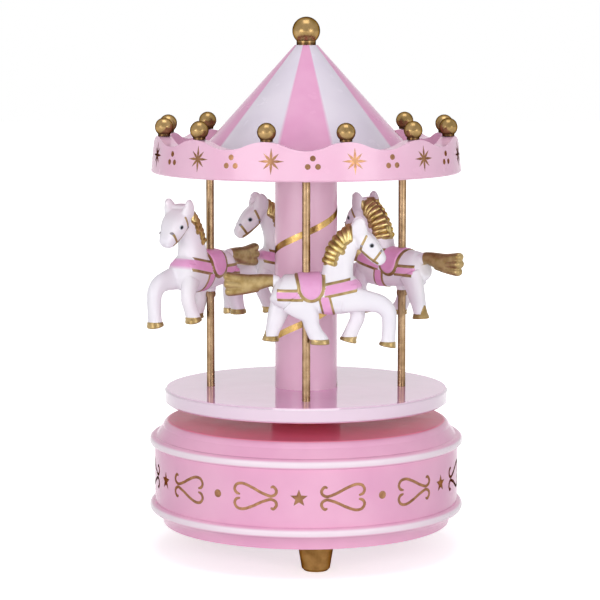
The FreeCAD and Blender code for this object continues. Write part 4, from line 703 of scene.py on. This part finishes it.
# Relief and paint: saddle, bands, hooves and eyes stand a few tenths of a millimetre proud.
# Over the white ground the fields are filled by hand in pink, gold, grey for the rings and black.
SADDLE_GAP = 0.05
HORSE_WHITE, HORSE_WHITE_DEEP = "FCF9FE", "F5F1FA"
HARNESS_PINK, HARNESS_PINK_DEEP = "F4B4E0", "EFA8D8"
LEAF_BRIGHT, LEAF_DARK = "B29A6C", "8E7444"
RING_GREY, IRIS_GREY, PUPIL_BLACK = "8E8A92", "93A0B0", "15161B"
PINK_GRAIN, LEAF_GRAIN = 300.0, 420.0
LEAF_METAL = 0.75
PAINT_ROUGHNESS, LEAF_ROUGHNESS = 0.26, 0.36


def raised(depth_inside, edge):
    """0 outside a painted field, easing to 1 at this depth inside it."""
    share = np.clip(depth_inside / edge, 0, 1)
    return share * share * (3 - 2 * share)


harness_edge = np.where(saddle_edge > 0, OUTSIDE, harness_edge)
rose = np.maximum(saddle, np.where(saddle_edge > -SADDLE_GAP, OUTSIDE, harness))
gold = np.max([saddle_edge, harness_edge, straps, mane, hooves, tail], axis=0)
gold = np.minimum(gold, -rose)
RELIEF = [  # field, its rise and the run of its edge in millimetres
    (saddle, 0.35, 0.5), (saddle_edge, 0.35, 0.3), (harness_edge, 0.22, 0.3), (straps, 0.15, 0.3),
    (hooves, 0.12, 0.3), (iris, 0.2, 0.5), (ring, 0.2, 0.3),
]
lift = sum(rise * raised(field, edge) for field, rise, edge in RELIEF)
spots += vectors(horse_mesh.vertex_normals, "vector") * lift[:, None]
horse_mesh.vertices.foreach_set("co", spots.ravel())
for name, field in (("rose", rose), ("gold", gold), ("iris", iris), ("ring", ring)):
    horse_mesh.attributes.new(name, "FLOAT", "POINT").data.foreach_set("value", field)
horse_mesh.update()


def depth_in(tree, field):
    """Depth in millimetres inside a painted field."""
    return node(tree, "ShaderNodeAttribute", attribute_name=field).outputs["Fac"]


horse_paint, tree, surface, place, white = lacquer(
    "horse_paint", HORSE_WHITE, HORSE_WHITE_DEEP, smooth=0.22, dull=0.34)
gold_share = ranged(tree, depth_in(tree, "gold"), -0.08, 0.08)
pink_grain = grain(tree, place, PINK_GRAIN, 3.0)
pink = graded(tree, pink_grain, (0.3, HARNESS_PINK_DEEP), (0.7, HARNESS_PINK))
leaf_grain = grain(tree, place, LEAF_GRAIN, 4.0)
leaf = graded(tree, leaf_grain, (0.3, LEAF_DARK), (0.65, LEAF_BRIGHT))
colour = blended(tree, ranged(tree, depth_in(tree, "rose"), -0.1, 0.1), white, pink)
colour = blended(tree, gold_share, colour, leaf)
colour = blended(tree, ranged(tree, depth_in(tree, "ring"), -0.05, 0.1), colour, RING_GREY)
iris_depth = depth_in(tree, "iris")
colour = blended(tree, ranged(tree, iris_depth, 0.0, 0.3, 0.0, 0.7), colour, IRIS_GREY)
colour = blended(tree, ranged(tree, iris_depth, 0.32, 0.45), colour, PUPIL_BLACK)
tree.links.new(colour, surface.inputs["Base Color"])
tree.links.new(maths(tree, "MULTIPLY", gold_share, LEAF_METAL), surface.inputs["Metallic"])
shine = ranged(tree, gold_share, 0.0, 1.0, PAINT_ROUGHNESS, LEAF_ROUGHNESS)
tree.links.new(shine, surface.inputs["Roughness"])
horse_mesh.materials.clear()
horse_mesh.materials.append(horse_paint)

# Locks of the mane: round strands that lie on the neck, thinner to the tip, under bright gilding.
# Horse and mane are copied to the four poles, each turned to its own heading on its collar.
LOCK_KNOTS = 11
LOCK_SIDES = 12
LOCK_GIRTH, LOCK_SINK = 0.95, 0.45
LOCK_THINNING = 0.25
ROOT_GIRTH, TIP_GIRTH, TIP_TAPER = 0.75, 0.35, 2.2
ROOT_SPREAD, SPREAD_RATE = 0.3, 2.5
CREST_SPREAD = 0.3
BESIDE = 20.0
faces = [tuple(polygon.vertices) for polygon in horse_mesh.polygons]
skin_faces = BVHTree.FromPolygons([tuple(spot) for spot in spots], faces)
locks_plan = bmesh.new()
girth_layer = locks_plan.verts.layers.float.new("girth")
for side in (-1, 1):
    for root, tip in LOCKS:
        before = None
        for share in np.linspace(0, 1, LOCK_KNOTS):
            across, level = (1 - share) * np.array(root) + share * np.array(tip)
            hit = skin_faces.ray_cast(Vector((across, side * BESIDE, level)), Vector((0, -side, 0)))[0]
            outward = side * CREST_SPREAD
            if hit:
                outward = (hit.y - side * LOCK_SINK) * min(1.0, ROOT_SPREAD + SPREAD_RATE * share)
            knot = locks_plan.verts.new((across, outward, level))
            girth = LOCK_GIRTH * min(1.0, ROOT_GIRTH + share, TIP_GIRTH + TIP_TAPER * (1 - share))
            knot[girth_layer] = girth * (1 - LOCK_THINNING * share)
            if before:
                locks_plan.edges.new((before, knot))
            before = knot
lock_mesh = bpy.data.meshes.new("lock_lines")
locks_plan.to_mesh(lock_mesh)
locks_plan.free()


def lock_tree():
    """Swells each drawn line to a round lock by its own girth."""
    tree, given, end = shape_tree("mane_locks", sides=int, gilt=bpy.types.Material)
    lines = node(tree, "GeometryNodeMeshToCurve", {"Mesh": given["Geometry"]})
    girth = node(tree, "GeometryNodeInputNamedAttribute", {"Name": "girth"})
    swelled = node(tree, "GeometryNodeSetCurveRadius", {"Curve": lines.outputs[0],
                                                        "Radius": girth.outputs["Attribute"]})
    circle = node(tree, "GeometryNodeCurvePrimitiveCircle", {"Resolution": given["sides"], "Radius": 1.0})
    locks = node(tree, "GeometryNodeCurveToMesh", {"Curve": swelled.outputs[0], "Fill Caps": True,
                                                   "Profile Curve": circle.outputs["Curve"]})
    smooth = node(tree, "GeometryNodeSetShadeSmooth", {"Geometry": locks.outputs[0]})
    return coated(tree, end, smooth.outputs[0], given["gilt"])


mane_gilt, *_ = gilding("mane_gilt", bright="DCC68C", dark="B09858", edge="8A6A3C",
                        smooth=0.3, dull=0.42, speckle=420.0)
mane_locks = grown("mane_locks", lock_tree(), lock_mesh, sides=LOCK_SIDES, gilt=mane_gilt)
for quarter, heading in HORSE_HEADINGS.items():
    collar_low, collar_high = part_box(f"{quarter}_collar")
    collar_middle = 0.5 * (collar_low + collar_high)
    seat = Matrix.Translation((collar_middle.x, collar_middle.y, collar_high.z))
    stand = seat @ Matrix.Rotation(math.radians(heading), 4, "Z") @ Matrix.Scale(MM, 4)
    for name, source in ((f"{quarter}_painted_horse", horse_mesh), (f"{quarter}_mane", mane_locks.data)):
        copy = source.copy()
        copy.transform(stand)
        piece = bpy.data.objects.new(name, copy)
        bpy.context.collection.objects.link(piece)
        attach(piece, "carousel")
        if source == horse_mesh:
            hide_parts(f"{quarter}_horse")
bpy.data.objects.remove(mane_locks)

# Canopy crown: a moulded pink band with a wavy upper edge. Stars and three-dot groups are stamped
# on it in gold foil, and a metallized ball stands on every peak.
CROWN_REPEATS = 12
CROWN_TURN = math.radians(-87.7)
CROWN_FOIL_HEIGHT = 0.1328
CROWN_SET_IN, CROWN_WALL_HEIGHT = 0.0012, 0.0124
CROWN_LEAN = CROWN_SET_IN / CROWN_WALL_HEIGHT
SPIKES = 8
SPIKE_LENGTHS = (0.0043, 0.0036)
SPIKE_WIDTH = 0.00046
SPIKE_SHARES = np.linspace(0.1, 0.97, 9)
SPIKE_SWELL = SPIKE_WIDTH * np.interp(SPIKE_SHARES, [0.0, 0.4, 1.0], [0.3, 1.0, 0.0])
STAR_CORE = 0.001
STAR_LIFT = 0.0004
CLUSTER_DOT = 0.0009
CLUSTER_PLACES = [(0.0, 0.0014), (-0.0016, -0.0012), (0.0016, -0.0012)]
BALL_SEAT_PAINTED_SHADE = "3E2616"
BALL_SEAT_SHADE_BAND = (0.0006, 0.0018)
BALL_SEAT_SHADE_SHARE = 0.85
crown_lacquer, *_ = lacquer("crown_lacquer", "FACCE4", "F5C0DC", smooth=0.18, dull=0.28)
dress(crown_lacquer, "canopy_crown")
crown_low, crown_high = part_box("canopy_crown")
crown_plan = bmesh.new()
star_middle = np.array([math.pi * crown_high.x / CROWN_REPEATS, STAR_LIFT])
for number in range(SPIKES):
    turn = 2 * math.pi * number / SPIKES
    ahead = np.array([math.cos(turn), math.sin(turn)])
    line = star_middle + SPIKE_SHARES[:, None] * ahead * SPIKE_LENGTHS[number % 2]
    swell = SPIKE_SWELL[:, None] * [-ahead[1], ahead[0]]
    left, right = line + swell, line - swell
    for k in range(len(line) - 1):
        foil_patch(crown_plan, [right[k], right[k + 1], left[k + 1], left[k]])
foil_dot(crown_plan, STAR_CORE, star_middle)
for place_in_group in CLUSTER_PLACES:
    foil_dot(crown_plan, CLUSTER_DOT, place_in_group)
crown_motif = finished("crown_motif", crown_plan)
crown_middle = crown_high.x - CROWN_LEAN * (CROWN_FOIL_HEIGHT - crown_low.z)
crown_foil = grown("crown_stars", foil_ring, motif=crown_motif, repeats=CROWN_REPEATS,
                   wall_radius=crown_middle, lean=CROWN_LEAN, middle_height=CROWN_FOIL_HEIGHT,
                   first_turn=CROWN_TURN, pitch=2 * math.pi / CROWN_REPEATS, foil=stamped_foil)
bpy.data.objects.remove(crown_motif)
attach(crown_foil, "carousel")
ball_gold, tree, surface, place, colour = gilding("ball_gold", bright="AA8C60", dark="866E44",
                                                  edge="46321A", smooth=0.2, dull=0.32, speckle=240.0)
# Painted shade: a dark brown band is painted round the foot of each crown ball and of the finial, where
# it sits on its seat.
for seat_height in (crown_high.z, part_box("top_finial")[0].z):
    off_seat = maths(tree, "ABSOLUTE", maths(tree, "SUBTRACT", height_in(tree, place), seat_height))
    seat_shade = ranged(tree, off_seat, *BALL_SEAT_SHADE_BAND, BALL_SEAT_SHADE_SHARE, 0.0)
    colour = blended(tree, seat_shade, colour, BALL_SEAT_PAINTED_SHADE)
tree.links.new(colour, surface.inputs["Base Color"])
dress(ball_gold, "crown_balls", "top_finial")

# Canopy cone: a thin moulded roof inside the crown, held down by the finial on the tie rod.
# It is sprayed white, with five pink panels through a mask.
PANELS = 5
PINK_HALF = math.radians(15.5)
SOFT_EDGE = math.radians(1.2)
PANEL_TURN = math.radians(-90.6)
PANEL_GRAIN = 60.0
roof_lacquer, tree, surface, place, white = lacquer(
    "roof_lacquer", "EEE6F3", "E4DBEB", smooth=0.17, dull=0.28)
x, y, _ = node(tree, "ShaderNodeSeparateXYZ", {"Vector": place}).outputs
turn = maths(tree, "SUBTRACT", maths(tree, "ARCTAN2", y, x), PANEL_TURN)
folded = maths(tree, "PINGPONG", turn, math.pi / PANELS)
pink_share = ranged(tree, folded, PINK_HALF + SOFT_EDGE, PINK_HALF - SOFT_EDGE)
roof_pink = graded(tree, grain(tree, place, PANEL_GRAIN, 3.0), (0.35, "E59CC8"), (0.65, "ECAAD1"))
tree.links.new(blended(tree, pink_share, white, roof_pink), surface.inputs["Base Color"])
dress(roof_lacquer, "canopy_cone")

# Studio: a pale floor in a white surround, and soft lamps over the camera, at either side of it,
# above and behind. Only the side lamps and the top lamp are mirrored in gloss and gold.
FLOOR_HALF = 3.0
FLOOR_GRAIN, FLOOR_ROUGHNESS = 3.0, 0.8
NEAR_GLOW, NEAR_FLOOR, FAR_FLOOR = 0.6, 0.1, 0.6
SURROUND_LIGHT = 0.24
WHITE = "FFFFFF"
OBJECT_MIDDLE = (0.0, 0.0, 0.09)
LAMPS = {  # place, width, height, power in watts, mirrored
    "left_lamp": ((-0.9, -1.06, 0.19), 0.64, 0.33, 3.4, True),
    "right_lamp": ((0.9, -1.06, 0.19), 0.64, 0.33, 3.0, True),
    "front_lamp": ((0.0, -1.35, 0.4), 0.9, 0.6, 5.8, False),
    "top_lamp": ((0.0, -0.15, 1.1), 0.6, 0.6, 2.8, True),
    "back_lamp": ((0.35, 1.25, 0.75), 0.8, 0.8, 2.0, False),
}
LENS, SENSOR_WIDTH = 147.74, 36.0
CAMERA_PLACE = (-0.0005, -0.818, 0.182)
CAMERA_DIP, CAMERA_TURN = 0.1196, 0.0019


def in_sight(tree):
    """1 for rays that show the surround itself: straight, mirrored or through glass."""
    rays = node(tree, "ShaderNodeLightPath").outputs
    seen = maths(tree, "MAXIMUM", rays["Is Camera Ray"], rays["Is Glossy Ray"])
    return maths(tree, "MAXIMUM", seen, rays["Is Transmission Ray"])


floor_plan = bmesh.new()
bmesh.ops.create_grid(floor_plan, x_segments=1, y_segments=1, size=FLOOR_HALF)
floor_finish, tree, surface = fresh("pale_floor")
place = object_place(tree)
floor_tone = graded(tree, grain(tree, place, FLOOR_GRAIN), (0.3, "F2F0F2"), (0.7, "F6F5F6"))
tree.links.new(floor_tone, surface.inputs["Base Color"])
surface.inputs["Roughness"].default_value = FLOOR_ROUGHNESS
away = node(tree, "ShaderNodeVectorMath", {0: place}, operation="LENGTH").outputs["Value"]
glow = maths(tree, "MULTIPLY", in_sight(tree), ranged(tree, away, NEAR_FLOOR, FAR_FLOOR, NEAR_GLOW, 1.0))
tree.links.new(glow, surface.inputs["Emission Strength"])
surface.inputs["Emission Color"].default_value = tone(WHITE)
floor = finished("floor", floor_plan, floor_finish)

world = bpy.data.worlds.new("white_surround")
bpy.context.scene.world = world
world.use_nodes = True
tree = world.node_tree
surround = tree.nodes["Background"]
tree.links.new(ranged(tree, in_sight(tree), 0.0, 1.0, SURROUND_LIGHT, 1.0), surround.inputs["Strength"])
surround.inputs["Color"].default_value = tone(WHITE)

for name, (lamp_place, width, height, power, mirrored) in LAMPS.items():
    lamp = bpy.data.lights.new(name, "AREA")
    lamp.shape = "RECTANGLE"
    lamp.size = width
    lamp.size_y = height
    lamp.energy = power
    holder = bpy.data.objects.new(name, lamp)
    holder.location = lamp_place
    aim = Vector(OBJECT_MIDDLE) - Vector(lamp_place)
    holder.rotation_euler = aim.to_track_quat("-Z", "Y").to_euler()
    holder.visible_glossy = mirrored
    bpy.context.collection.objects.link(holder)

camera_data = bpy.data.cameras.new("camera")
camera_data.lens = LENS
camera_data.sensor_width = SENSOR_WIDTH
camera = bpy.data.objects.new("camera", camera_data)
camera.location = CAMERA_PLACE
camera.rotation_euler = (0.5 * math.pi - CAMERA_DIP, 0.0, CAMERA_TURN)
bpy.context.collection.objects.link(camera)
bpy.context.scene.camera = camera
bpy.context.scene.view_settings.view_transform = "Standard"
